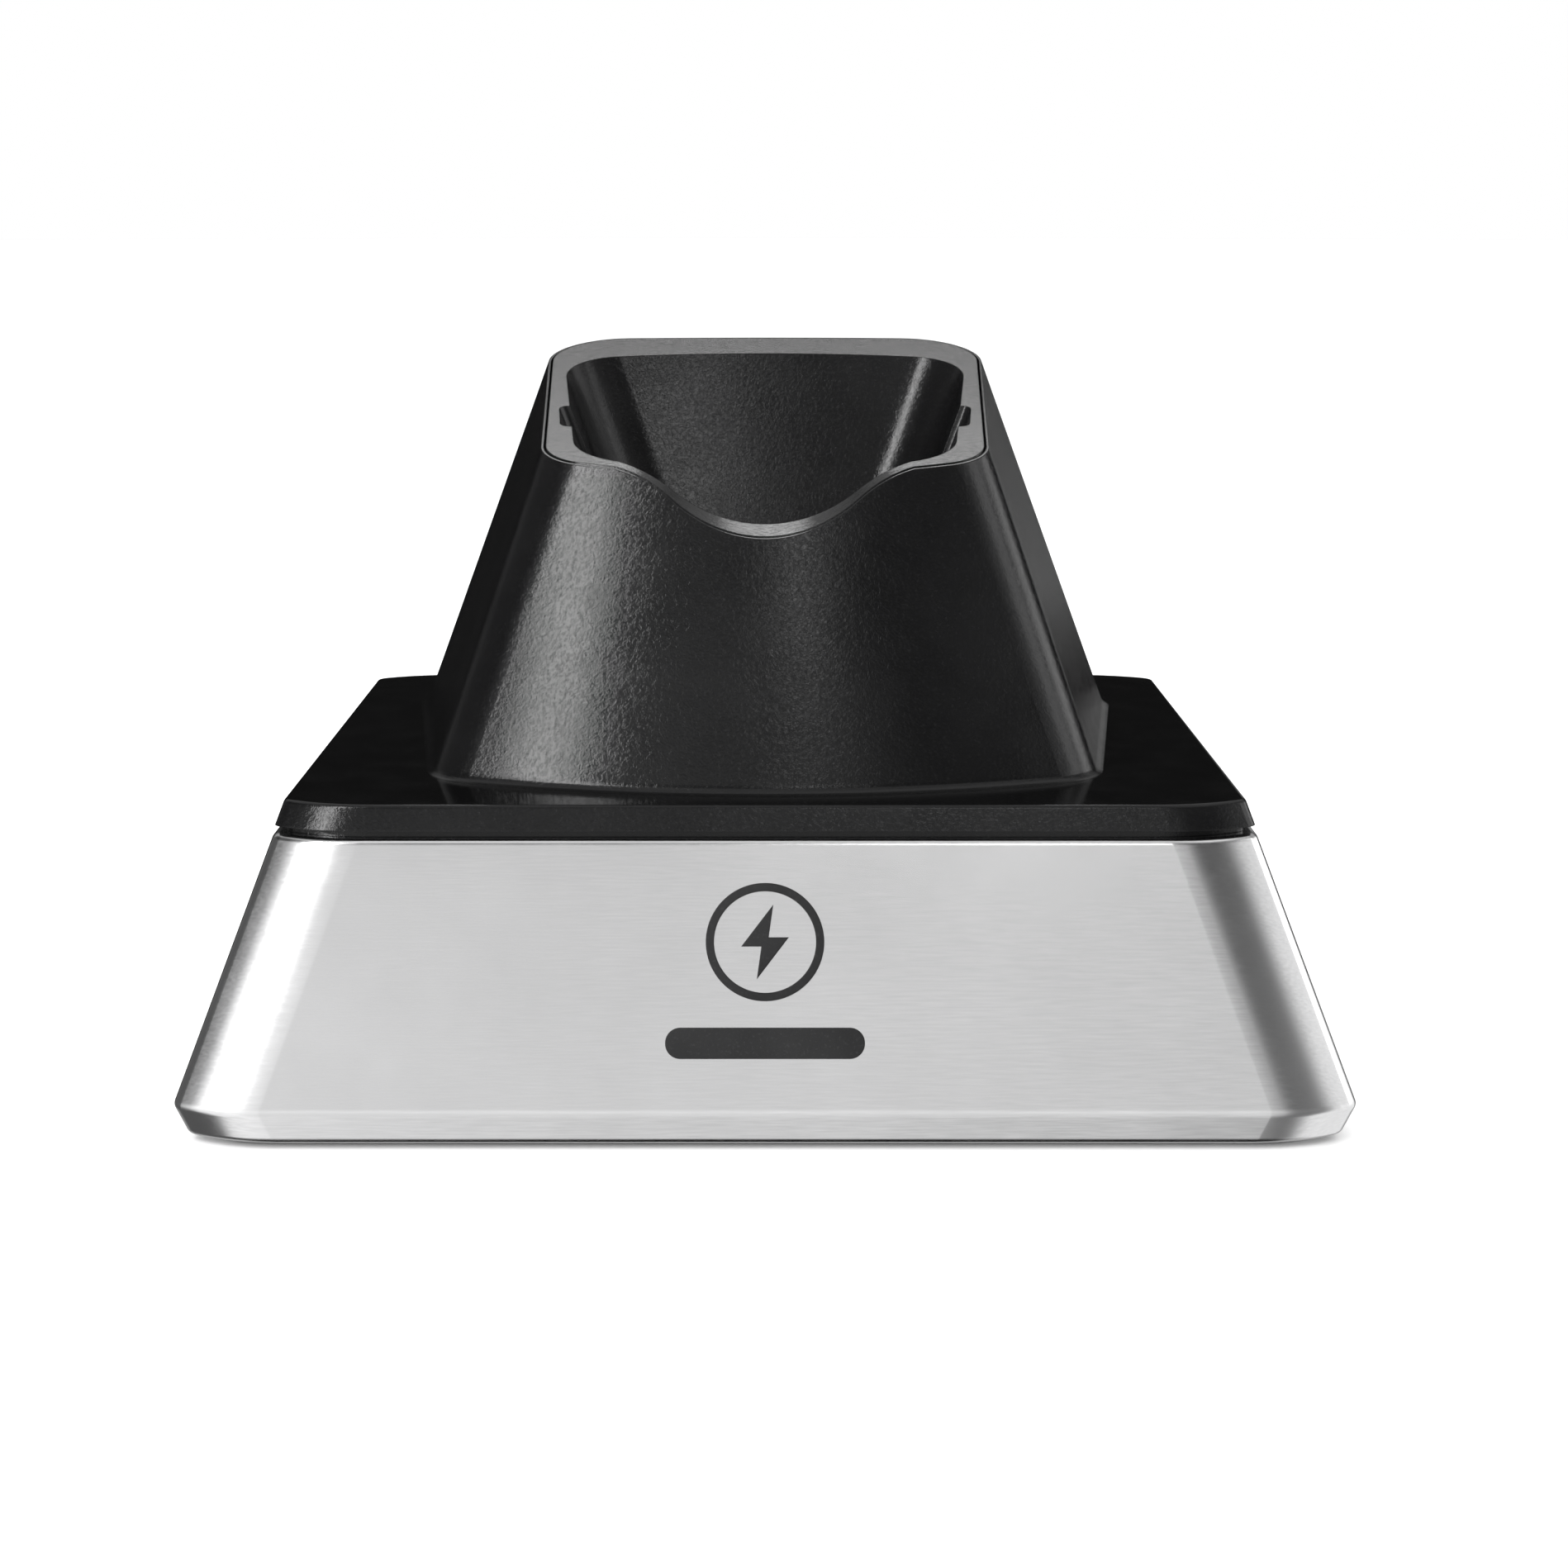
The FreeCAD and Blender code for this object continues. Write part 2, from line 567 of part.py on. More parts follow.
def make_base_shell():
    """Sloping shell, open below for the base plate and above for the deck's skirt."""
    body = new_body("base_shell")
    outlines = []
    for depth, inset in reversed(rounding("low_round", "base_draft")):
        outlines.append(base_outline(body, "shell_low", f"base_low + {depth}", inset))
    for k in range(CREASE_STEPS + 1):
        turn = f"(base_draft * {2 * k / CREASE_STEPS - 1})"
        rise = f"(crease_round * sin({turn}))"
        inset = f"(crease_round * (1 / cos(base_draft) - cos({turn})) - abs({rise}) * tan(base_draft))"
        outlines.append(base_outline(body, "shell_crease", f"base_crease + {rise}", inset))
    for depth, inset in rounding("top_round", "base_draft"):
        outlines.append(base_outline(body, "shell_top", f"base_top - {depth}", inset))
    loft(body, "shell_solid", outlines)

    rabbet = new_sketch(body, "rabbet_outline", "XY", "base_low")
    slack = "- plate_inset + plate_gap"
    rounded_rectangle(rabbet, f"base_half_x {slack}", f"base_half_y {slack}", "plate_corner + plate_gap")
    feature(body, "Pocket", "plate_rabbet", rabbet, reverse=True, Length="plate_top - base_low")
    straight = cavity_outline(body, "straight_outline", "base_straight")
    feature(body, "Pocket", "straight_cavity", straight, Length="base_straight - plate_top")
    lower = cavity_outline(body, "cavity_low", "base_straight")
    upper = cavity_outline(body, "cavity_top", "base_top - base_roof")
    loft(body, "sloped_cavity", [lower, upper], removing=True)
    opening = new_sketch(body, "flange_opening", "XY", "base_top")
    inset = "(skirt_inset - skirt_gap)"
    rounded_rectangle(opening, f"deck_half_x - {inset}", f"deck_half_y - {inset}", "skirt_corner + skirt_gap")
    feature(body, "Pocket", "skirt_opening", opening, Length="3")

    inlet = new_sketch(body, "inlet_outline", "XZ", "base_half_y")
    circle(inlet, "0", "jack_level", "bezel_size + 0.1")
    feature(body, "Pocket", "inlet_hole", inlet, reverse=True, Length="base_half_y - bezel_front")


def make_base_plate():
    """Flat plate in the shell's rabbet, with foot recesses, screw tubes and standoffs."""
    body = new_body("base_plate")
    outline = new_sketch(body, "plate_outline", "XY", "plate_low")
    rounded_rectangle(outline, "base_half_x - plate_inset", "base_half_y - plate_inset", "plate_corner")
    feature(body, "Pad", "plate", outline, Length="plate_top - plate_low")

    tubes = new_sketch(body, "tube_outlines", "XY", "plate_top - 0.2")
    spacers = new_sketch(body, "standoff_outlines", "XY", "plate_top - 0.2")
    studs = new_sketch(body, "ballast_stud_outlines", "XY", "plate_top - 0.2")
    recesses = new_sketch(body, "foot_recess_outlines", "XY", "plate_low")
    heads = new_sketch(body, "counterbore_outlines", "XY", "plate_low")
    shanks = new_sketch(body, "screw_hole_outlines", "XY", "plate_low")
    for side in (-1, 1):
        for end in (-1, 1):
            circle(tubes, f"{side}*post_x", f"{end}*post_y", "4.2")
            circle(heads, f"{side}*post_x", f"{end}*post_y", "3.1")
            circle(shanks, f"{side}*post_x", f"{end}*post_y", "1.7")
            circle(recesses, f"{side}*foot_x", f"{end}*foot_y", "foot_size + 0.1")
            circle(spacers, f"{side}*board_hole_x", f"board_centre + {end}*board_hole_y", "2.5")
        circle(studs, f"{side}*stud_x", "ballast_centre", "3")
    feature(body, "Pad", "screw_tubes", tubes, Length="post_foot - plate_top + 0.2")
    feature(body, "Pad", "standoffs", spacers, Length="board_low - plate_top + 0.2")
    feature(body, "Pad", "ballast_studs", studs, Length="ballast_top - plate_top - 0.4")
    feature(body, "Pocket", "foot_recesses", recesses, reverse=True, Length="foot_height - plate_low")
    feature(body, "Pocket", "counterbores", heads, reverse=True, Length="counterbore")
    feature(body, "Pocket", "screw_holes", shanks, reverse=True, Length="20")

    pilots = new_sketch(body, "pilot_outlines", "XY", "board_low")
    ballast_pilots = new_sketch(body, "ballast_pilot_outlines", "XY", "ballast_top")
    for side in (-1, 1):
        circle(pilots, f"{side}*board_hole_x", "board_centre - board_hole_y", "1.05")
        circle(ballast_pilots, f"{side}*stud_x", "ballast_centre", "1.25")
    feature(body, "Pocket", "board_pilots", pilots, Length="4.2")
    feature(body, "Pocket", "ballast_pilots", ballast_pilots, Length="5.5")


def make_feet():
    """Four rubber pads in the plate's recesses."""
    for row_name, end in (("front", -1), ("rear", 1)):
        for side_name, side in (("left", -1), ("right", 1)):
            profile = [("0", "0"), ("foot_size - 0.5", "0"), ("foot_size", "0.5"),
                       ("foot_size", "foot_height"), ("0", "foot_height")]
            revolved(f"foot_{row_name}_{side_name}", profile, f"{side}*foot_x", f"{end}*foot_y")


# ------------------------------------------------------------ tower and liner

def tower_outline(name, rise, inset):
    """The tower's plan at a height above the deck, moved in by inset."""
    sketch = new_sketch(None, name, "XY", f"deck_top + {rise}")
    bowed_outline(
        sketch,
        front=f"tower_front - ({rise}) * tan(front_draft) - {inset}",
        bow=f"front_bow - {inset}",
        side=f"tower_side - ({rise}) * tan(side_draft) - {inset} / cos(tower_flare)",
        flare="tower_flare",
        front_corner=f"tower_corner_front - {inset}",
        back=f"tower_back - ({rise}) * tan(back_draft) - {inset}",
        back_bow=f"tower_back_bow - {inset}",
        back_corner=f"tower_corner_back - {inset}")
    return sketch


def tower_solid(name, inset):
    """The tapering tower from the underside of the deck to its untrimmed end."""
    return lofted_solid(name, [tower_outline(f"{name}_low", "deck_ceiling - deck_top", inset),
                               tower_outline(f"{name}_high", "tower_reach", inset)])


def tower_with_cove():
    """The tower's outside, flaring into the deck through a small cove."""
    outlines = []
    for depth, inset in reversed(rounding("foot_cove", "front_draft")):
        outlines.append(tower_outline("cove_outline", depth, f"(-1 * {inset})"))
    outlines.append(tower_outline("tower_outside_high", "tower_reach", "0"))
    return lofted_solid("tower_outside", outlines)


def cup_solid(name, low, inset):
    """The cup from a low level: a straight well, then the funnel, up past the rim."""
    outlines = []
    for z, taper_z in ((low, "well_top"), ("well_top", "well_top"), ("cup_level + 10", "cup_level + 10")):
        rise = f"(({taper_z}) - cup_level) * tan(cup_draft)"
        sketch = new_sketch(None, f"{name}_outline", "XY", z)
        bowed_outline(
            sketch,
            front=f"cup_front - {inset}",
            bow=f"cup_bow - {inset}",
            side=f"cup_side + {rise} - {inset}",
            flare="cup_flare",
            front_corner=f"cup_corner - {inset}",
            back=f"cup_back + {rise} - {inset}",
            back_bow=f"cup_back_bow - {inset}",
            back_corner=f"cup_corner - {inset}")
        outlines.append(sketch)
    return lofted_solid(name, outlines)


def rim_at_front():
    """Expressions for the rim's distance and height where it meets the bowed front."""
    fall = "(rim_height - rim_station * tan(rim_tilt) - deck_top)"
    distance = f"(tower_front - {fall} * tan(front_draft)) / (1 - tan(rim_tilt) * tan(front_draft))"
    height = f"(rim_height - ({distance} + rim_station) * tan(rim_tilt))"
    return f"({distance})", height


def scallop_outline(sketch, shift):
    """Round bottom, S-shaped shoulders, and closed well above the rim.

    The profile stands behind the front wall and slides forward and down, so it is
    raised here by what it loses on the way."""
    distance, height = rim_at_front()
    level = f"{height} + scallop_lift + ({distance} + scallop_back) * tan(scallop_slope) - ({shift})"
    shoulder = "((scallop_half ^ 2 + scallop_drop ^ 2) / (2 * scallop_drop) - scallop_bow)"
    side, roof = "(scallop_half + 12)", f"({level} + 40)"
    half, drop, bow, rise, ledge, edge, top = (
        number(t) for t in ("scallop_half", "scallop_drop", "scallop_bow", shoulder, level, side, roof))
    bottom = ledge - drop + bow
    turn = math.atan2(bottom - (ledge - rise), half)
    corners = [(half, ledge), (edge, ledge), (edge, top), (-edge, top), (-edge, ledge), (-half, ledge)]
    points = [FreeCAD.Vector(x, y, 0) for x, y in corners]
    sketch.addGeometry([arc(0, bottom, bow, math.pi + turn, 2 * math.pi - turn),
                        arc(half, ledge - rise, rise, math.pi / 2, math.pi - turn),
                        arc(-half, ledge - rise, rise, turn, math.pi / 2)], False)
    sketch.addGeometry([Part.LineSegment(a, b) for a, b in zip(points, points[1:])], False)
    for first, second in (((0, 2), (1, 2)), ((0, 1), (2, 1)), ((1, 1), (3, 1)), ((2, 2), (7, 2))):
        sketch.addConstraint(Sketcher.Constraint("Tangent", *first, *second))
    for k in range(3, 7):
        sketch.addConstraint(Sketcher.Constraint("Coincident", k, 2, k + 1, 1))
    for k in range(3, 8):
        sketch.addConstraint(Sketcher.Constraint("Horizontal" if k % 2 else "Vertical", k))
    sketch.addConstraint(Sketcher.Constraint("PointOnObject", 0, 3, -2))
    constrain(sketch, "Radius", (0,), "scallop_bow")
    constrain(sketch, "Radius", (1,), shoulder)
    constrain(sketch, "Radius", (2,), shoulder)
    constrain(sketch, "DistanceX", (-1, 1, 1, 3), "scallop_half")
    constrain(sketch, "DistanceX", (-1, 1, 2, 3), "-scallop_half")
    constrain(sketch, "DistanceY", (-1, 1, 3, 1), level)
    constrain(sketch, "DistanceX", (-1, 1, 4, 1), side)
    constrain(sketch, "DistanceX", (-1, 1, 6, 1), f"-{side}")
    constrain(sketch, "DistanceY", (-1, 1, 5, 1), roof)


def head_cutter(name, shift):
    """All the space above the tilted rim and its scallop, moved down by shift."""
    profile = new_sketch(None, f"{name}_rim_profile", "YZ")
    rim = f"rim_height - ({shift}) + ({{}} - rim_station) * tan(rim_tilt)"
    polygon(profile, [("-70", rim.format("-70")), ("70", rim.format("70")), ("70", "120"), ("-70", "120")])
    above = extruded(f"{name}_above_rim", profile, "140", symmetric=True)
    front = new_sketch(None, f"{name}_scallop_profile", "XZ", "scallop_back")
    scallop_outline(front, shift)
    prism = extruded(f"{name}_scallop", front, "40")
    prism.DirMode = "Custom"
    slope = math.radians(number("scallop_slope"))
    prism.Dir = FreeCAD.Vector(0, -math.cos(slope), -math.sin(slope))
    return fuse(name, [above, prism])


def plan_prism(name, z, height, *sizes):
    """A rounded rectangle pushed up from a level; sizes as for rounded_rectangle."""
    sketch = new_sketch(None, f"{name}_outline", "XY", z)
    rounded_rectangle(sketch, *sizes)
    return extruded(name, sketch, height)


def deck_outline(name, z, inset):
    """The deck's outline at a level, moved in by inset from its lower edge."""
    sketch = new_sketch(None, name, "XY", z)
    two_arc_rectangle(sketch, f"deck_half_x - {inset}", f"deck_half_y - {inset}")
    return sketch


def deck_with_skirt():
    """The deck slab, the recessed neck below it and the skirt that locates it in the base."""
    outlines = []
    for depth, inset in [("(deck_top - neck_top)", "0"), *rounding("deck_round", "base_draft")]:
        slope = f"((deck_top - neck_top - {depth}) * tan(base_draft) + {inset})"
        outlines.append(deck_outline("deck_outline", f"deck_top - {depth}", slope))
    deck = lofted_solid("deck", outlines)
    neck = extruded("neck", deck_outline("neck_outline", "base_top", "neck_inset"),
                    "neck_top - base_top + overlap")
    skirt = plan_prism("skirt", "skirt_low", "base_top - skirt_low + overlap",
                       "deck_half_x - skirt_inset", "deck_half_y - skirt_inset", "skirt_corner")
    return [deck, neck, skirt]


def make_top_cover():
    """Deck and tapering tower in one moulding, hollow, with screw posts and a bracket."""
    hull = fuse("cover_hull", [*deck_with_skirt(), tower_with_cove()])
    inset = "skirt_inset + skirt_wall"
    void = plan_prism("skirt_void", "skirt_low - 1", "deck_ceiling - skirt_low + 1",
                      f"deck_half_x - ({inset})", f"deck_half_y - ({inset})", "skirt_corner - skirt_wall")
    hollow = fuse("cover_hollow", [void, tower_solid("tower_inside", "tower_wall")])
    shell = cut("cover_shell", hull, hollow)

    inside = [box("bracket_block", ("-tab_half", "bracket_y - 3.5", "bracket_low"),
                  ("2 * tab_half", "11", "bracket_high - bracket_low"))]
    holes = []
    for side in (-1, 1):
        place = (f"{side}*bracket_x", "bracket_y", "bracket_low - 1")
        holes.append(cylinder("bracket_hole", *place, "1.4", "6"))
        for end in (-1, 1):
            place = (f"{side}*post_x", f"{end}*post_y")
            inside.append(cylinder("post", *place, "post_foot", "3.2", "deck_ceiling - post_foot + 0.6"))
            holes.append(cylinder("post_pilot", *place, "post_foot - 1", "1.25", "17"))
    built = fuse("cover_built", [shell, *inside])
    drilled = cut("cover_drilled", built, fuse("cover_holes", holes))
    trimmed = cut("cover_trimmed", drilled, head_cutter("rim_cutter", "0"))
    seat = common("flange_seat", tower_solid("seat_outline", "rim_lip"),
                  head_cutter("seat_cutter", "flange_thick"))
    publish(cut("cover", trimmed, seat), "top_cover")


def make_cup_liner():
    """Flange that follows rim and scallop, tapering funnel, well with a floor."""
    flange_inset = "(rim_lip + rim_gap)"
    flange = common("flange", tower_solid("flange_outline", flange_inset),
                    head_cutter("flange_cutter", "flange_thick - flange_gap"))
    boss_height = "well_top - well_under + 9"
    bosses = [cylinder("ear_boss", f"{side}*ear_x", "contact_y", "well_under", "3", boss_height)
              for side in (-1, 1)]
    tab = box("liner_tab", ("-tab_half", "8", "bracket_high"), ("2 * tab_half", "17", "3.5"))
    trunk = fuse("liner_trunk", [cup_solid("cup_outside", "well_under", "-cup_wall"), tab, *bosses])
    inside_tower = tower_solid("liner_limit", "tower_wall + 0.25")
    body = fuse("liner_body", [flange, common("liner_inside", trunk, inside_tower)])

    cavity = [cup_solid("cup_inside", "well_floor", "0")]
    for side in (-1, 1):
        cavity.append(key_groove(side))
        cavity.append(cylinder("contact_hole", f"{side}*contact_x", "contact_y", "well_under - 1",
                               "pin_size + 0.2", "4"))
        cavity.append(cylinder("ear_pilot", f"{side}*ear_x", "contact_y", "well_under - 1", "1.1", "11"))
        cavity.append(cylinder("tab_pilot", f"{side}*bracket_x", "bracket_y", "bracket_high - 1", "1.1", "5"))
    cavity.append(head_cutter("liner_cutter", "-0.1"))
    publish(cut_all("liner", body, cavity), "cup_liner")


def key_groove(side):
    """A groove down the funnel's side that keeps the clipper the right way round."""
    wall = "(cup_side + (key_low - cup_level) * tan(cup_draft))"
    sketch = new_sketch(None, "key_outline", "XY", "key_low")
    rounded_rectangle(sketch, "(3 + key_depth) / 2", "key_half", "1.2",
                      f"{side} * ({wall} + (key_depth - 3) / 2)", "key_y")
    groove = extruded("key_groove", sketch, "24")
    groove.DirMode = "Custom"
    draft = math.radians(number("cup_draft"))
    groove.Dir = FreeCAD.Vector(side * math.sin(draft), 0, math.cos(draft))
    return groove


# ------------------------------------------------------------------- contacts

def make_contacts():
    """Block under the well with two sprung pins, their sleeves and terminals."""
    body = new_body("contact_block")
    outline = new_sketch(body, "block_outline", "XY", "block_low")
    rounded_rectangle(outline, "15", "6.5", "1.5", "0", "contact_y")
    feature(body, "Pad", "block", outline, Length="block_top - block_low")
    ears = new_sketch(body, "ear_outline", "XY", "block_top - 3")
    rounded_rectangle(ears, "ear_x + 3.5", "4.5", "2", "0", "contact_y")
    feature(body, "Pad", "ears", ears, Length="3")
    bores = new_sketch(body, "bore_outlines", "XY", "block_low")
    holes = new_sketch(body, "ear_hole_outlines", "XY", "block_low")
    for side in (-1, 1):
        circle(bores, f"{side}*contact_x", "contact_y", "sleeve_size + 0.05")
        circle(holes, f"{side}*ear_x", "contact_y", "1.3")
    feature(body, "Pocket", "sleeve_bores", bores, reverse=True, Length="block_top - block_low")
    feature(body, "Pocket", "ear_holes", holes, reverse=True, Length="block_top - block_low")

    for side_name, side in (("left", -1), ("right", 1)):
        place = (f"{side}*contact_x", "contact_y")
        bore, neck = "collar_size + pin_fit", "pin_size + pin_fit"
        sleeve = new_body(f"contact_sleeve_{side_name}")
        wall = new_sketch(sleeve, "sleeve_wall", "XY", "sleeve_low")
        circle(wall, *place, "sleeve_size")
        feature(sleeve, "Pad", "sleeve", wall, Length="sleeve_top - sleeve_low")
        inner = new_sketch(sleeve, "sleeve_inner", "XY", "sleeve_low")
        circle(inner, *place, bore)
        feature(sleeve, "Pocket", "sleeve_bore", inner, reverse=True, Length="sleeve_neck - sleeve_low")
        throat = new_sketch(sleeve, "sleeve_throat", "XY", "sleeve_low")
        circle(throat, *place, neck)
        feature(sleeve, "Pocket", "neck_bore", throat, reverse=True, Length="sleeve_top - sleeve_low")

        dome = "pin_top - 0.7"
        collar_top = "sleeve_neck - pin_play"
        collar_low = f"{collar_top} - collar_height"
        revolved(f"contact_pin_{side_name}", [
            ("0", collar_low), ("collar_size", collar_low), ("collar_size", collar_top),
            ("pin_size", collar_top), ("pin_size", dome), ("pin_size * 0.8", f"{dome} + 0.45"),
            ("pin_size * 0.45", f"{dome} + 0.64"), ("0", "pin_top")], *place)
        revolved(f"contact_terminal_{side_name}", [
            ("0", "sleeve_low - terminal_length"), ("wire_size", "sleeve_low - terminal_length"),
            ("wire_size", "sleeve_low - 1"), ("sleeve_size - 0.1", "sleeve_low - 1"),
            ("sleeve_size - 0.1", "sleeve_low"), ("0", "sleeve_low")], *place)
        make_spring(f"contact_spring_{side_name}", place)


def swept_tube(label, edges, radius):
    """A round bar along tangent lines and arcs, as a sub-part of its own."""
    path = Part.Wire(edges)
    start = path.Edges[0]
    direction = start.tangentAt(start.FirstParameter)
    section = Part.Wire(Part.Circle(start.Vertexes[0].Point, direction, radius).toShape())
    item = doc.addObject("Part::Feature", label)
    item.Shape = path.makePipeShell([section], True, True)
    expected = math.pi * radius ** 2 * path.Length
    if abs(item.Shape.Volume / expected - 1) > 0.02:
        raise RuntimeError(f"{label}: the tube's volume is wrong")
    publish(item, label)


def make_spring(label, place):
    """A round-wire coil between a terminal and a pin's collar, made of tilted half turns."""
    wire = number("spring_wire")
    low, high = number("sleeve_low") + wire, number("sleeve_neck - pin_play - collar_height") - wire
    across, half_turns = number("spring_size"), 2 * round((high - low) / number("spring_pitch"))
    rise = (high - low) / half_turns
    bow = math.hypot(across, rise / 2)
    centre = vector(*place, "0")
    edges = []
    for k in range(half_turns):
        side = 1 if k % 2 == 0 else -1
        z = low + k * rise
        edges.append(Part.Arc(centre + FreeCAD.Vector(side * across, 0, z),
                              centre + FreeCAD.Vector(0, side * bow, z + rise / 2),
                              centre + FreeCAD.Vector(-side * across, 0, z + rise)).toShape())
    swept_tube(label, edges, wire)


# ------------------------------------------------------- board, inlet, ballast

def make_board():
    """Circuit board on four standoffs."""
    body = new_body("circuit_board")
    outline = new_sketch(body, "board_outline", "XY", "board_low")
    rounded_rectangle(outline, "board_x", "board_y", "1.5", "0", "board_centre")
    feature(body, "Pad", "board", outline, Length="board_top - board_low")
    holes = new_sketch(body, "board_hole_outlines", "XY", "board_low")
    for side in (-1, 1):
        circle(holes, f"{side}*board_hole_x", "board_centre - board_hole_y", "1.4")
    feature(body, "Pocket", "board_holes", holes, reverse=True, Length="board_top - board_low")


def make_inlet():
    """Low-voltage inlet: jack on the board, its centre pin, and the ring in the shell."""
    jack = new_body("dc_jack")
    outline = new_sketch(jack, "jack_outline", "XY", "board_top")
    rounded_rectangle(outline, "jack_half", "7", "0.4", "0", "jack_face - 7")
    feature(jack, "Pad", "jack_case", outline, Length="jack_level + jack_half - board_top")
    mouth = new_sketch(jack, "jack_mouth", "XZ", "jack_face")
    circle(mouth, "0", "jack_level", "jack_bore")
    feature(jack, "Pocket", "jack_barrel", mouth, reverse=True, Length="jack_depth")

    pin = new_body("jack_center_pin")
    section = new_sketch(pin, "pin_section", "XZ", "jack_face - jack_depth")
    circle(section, "0", "jack_level", "1")
    feature(pin, "Pad", "pin", section, reverse=True, Length="jack_depth - 0.8")
    round_edges(pin, "pin_nose", "0.5", lambda edge: edge.BoundBox.YMin > number("jack_face") - 1)

    ring = new_body("jack_bezel")
    tube = new_sketch(ring, "ring_section", "XZ", "bezel_front")
    circle(tube, "0", "jack_level", "bezel_size")
    feature(ring, "Pad", "ring", tube, reverse=True, Length="bezel_back - bezel_front")
    collar = new_sketch(ring, "collar_section", "XZ", "bezel_front")
    circle(collar, "0", "jack_level", "bezel_size + 1.6")
    feature(ring, "Pad", "collar", collar, reverse=True, Length="1.4")
    recess = new_sketch(ring, "recess_section", "XZ", "bezel_back")
    circle(recess, "0", "jack_level", "bezel_bore")
    feature(ring, "Pocket", "recess", recess, reverse=True, Length="bezel_back - bezel_front")


def make_electronics():
    """The few components of a simple charging circuit, all on the board."""
    capacitor = revolved("capacitor", [
        ("0", "board_top"), ("4", "board_top"), ("4", "board_top + 1.4"), ("3.7", "board_top + 1.8"),
        ("4", "board_top + 2.2"), ("4", "board_top + 11"), ("0", "board_top + 11")], "-16", "35")
    round_edges(capacitor, "can_round", "0.5", at_height(number("board_top") + 11))

    inductor = new_body("inductor")
    case = new_sketch(inductor, "coil_case", "XY", "board_top")
    rounded_rectangle(case, "4", "4", "1.2", "-15", "22")
    feature(inductor, "Pad", "case", case, Length="4.5")
    round_edges(inductor, "case_round", "0.6", at_height(number("board_top") + 4.5))

    chip = new_body("controller_chip")
    legs = new_sketch(chip, "leg_outlines", "XY", "board_top")
    for k in range(4):
        rounded_rectangle(legs, "3", "0.22", "0.1", "14", f"{18.1 + 1.27 * k}")
    feature(chip, "Pad", "legs", legs, Length="0.6")
    case = new_sketch(chip, "chip_case", "XY", "board_top + 0.15")
    rounded_rectangle(case, "1.95", "2.45", "0.2", "14", "20")
    feature(chip, "Pad", "case", case, Length="1.5")

    header = new_body("wire_header")
    case = new_sketch(header, "header_case", "XY", "board_top")
    rounded_rectangle(case, "4", "3", "0.4", "0", "plug_y")
    feature(header, "Pad", "case", case, Length="6")
    room = new_sketch(header, "header_room", "XY", "board_top + 6")
    rounded_rectangle(room, "3.2", "plug_half + 0.1", "0.3", "0", "plug_y")
    feature(header, "Pocket", "room", room, Length="5")
    plug = new_body("wire_plug")
    case = new_sketch(plug, "plug_case", "XY", "board_top + 1")
    rounded_rectangle(case, "3.1", "plug_half", "0.3", "0", "plug_y")
    feature(plug, "Pad", "case", case, Length="8")


def make_ballast():
    """Steel plate that keeps the stand from tipping, over two studs of the base plate."""
    body = new_body("ballast_plate")
    outline = new_sketch(body, "ballast_outline", "XY", "plate_top")
    rounded_rectangle(outline, "ballast_x", "ballast_y - 2", "3", "0", "ballast_centre")
    feature(body, "Pad", "slab", outline, Length="ballast_top - plate_top")
    holes = new_sketch(body, "ballast_hole_outlines", "XY", "plate_top")
    for side in (-1, 1):
        circle(holes, f"{side}*stud_x", "ballast_centre", "3.2")
    feature(body, "Pocket", "stud_holes", holes, reverse=True, Length="ballast_top - plate_top")
    round_edges(body, "ballast_round", "0.5", at_height(number("ballast_top")))


# ------------------------------------------------------------ wires and screws

BEND_SHARE = 0.45


def bend_radii(points):
    """The radius at each inner point, so that a bend takes its share of the shorter run beside it."""
    radii = []
    for before, here, after in zip(points, points[1:], points[2:]):
        first, second = here - before, after - here
        half_turn = first.getAngle(second) / 2
        radii.append(BEND_SHARE * min(first.Length, second.Length) / math.tan(half_turn))
    return radii


def make_wire(label, points, radius):
    """A wire of straight runs joined by tangent arcs."""
    edges = []
    start = points[0]
    radii = bend_radii(points)
    print(label, "bend radii", [round(r, 1) for r in radii])
    for before, here, after, bend in zip(points, points[1:], points[2:], radii):
        first = (here - before).normalize()
        second = (after - here).normalize()
        half_turn = first.getAngle(second) / 2
        reach = bend * math.tan(half_turn)
        enter, leave = here - first * reach, here + second * reach
        middle = here + (second - first).normalize() * (bend / math.cos(half_turn) - bend)
        edges.append(Part.LineSegment(start, enter).toShape())
        edges.append(Part.Arc(enter, middle, leave).toShape())
        start = leave
    edges.append(Part.LineSegment(start, points[-1]).toShape())
    swept_tube(label, edges, radius)


def make_wires():
    """Two leads from the contact terminals down to the plug on the board."""
    for name, side in (("negative", -1), ("positive", 1)):
        points = [vector(f"{side}*contact_x", "contact_y", "sleeve_low - terminal_length"),
                  vector(f"{side}*contact_x", "contact_y", "19.4"),
                  vector(f"{side}*6.6", "0", "15.7"),
                  vector(f"{side}*5.3", "4.4", "13.9"),
                  vector(f"{side}*3.3", "9.4", "14.1"),
                  vector(f"{side}*plug_pole", "13.6", "plug_exit"),
                  vector(f"{side}*plug_pole", "plug_y - plug_half", "plug_exit")]
        make_wire(f"wire_{name}", points, number("wire_size"))


SLOT = ("2.6", "0.5", "0.9")  # length, width and depth of a cross recess


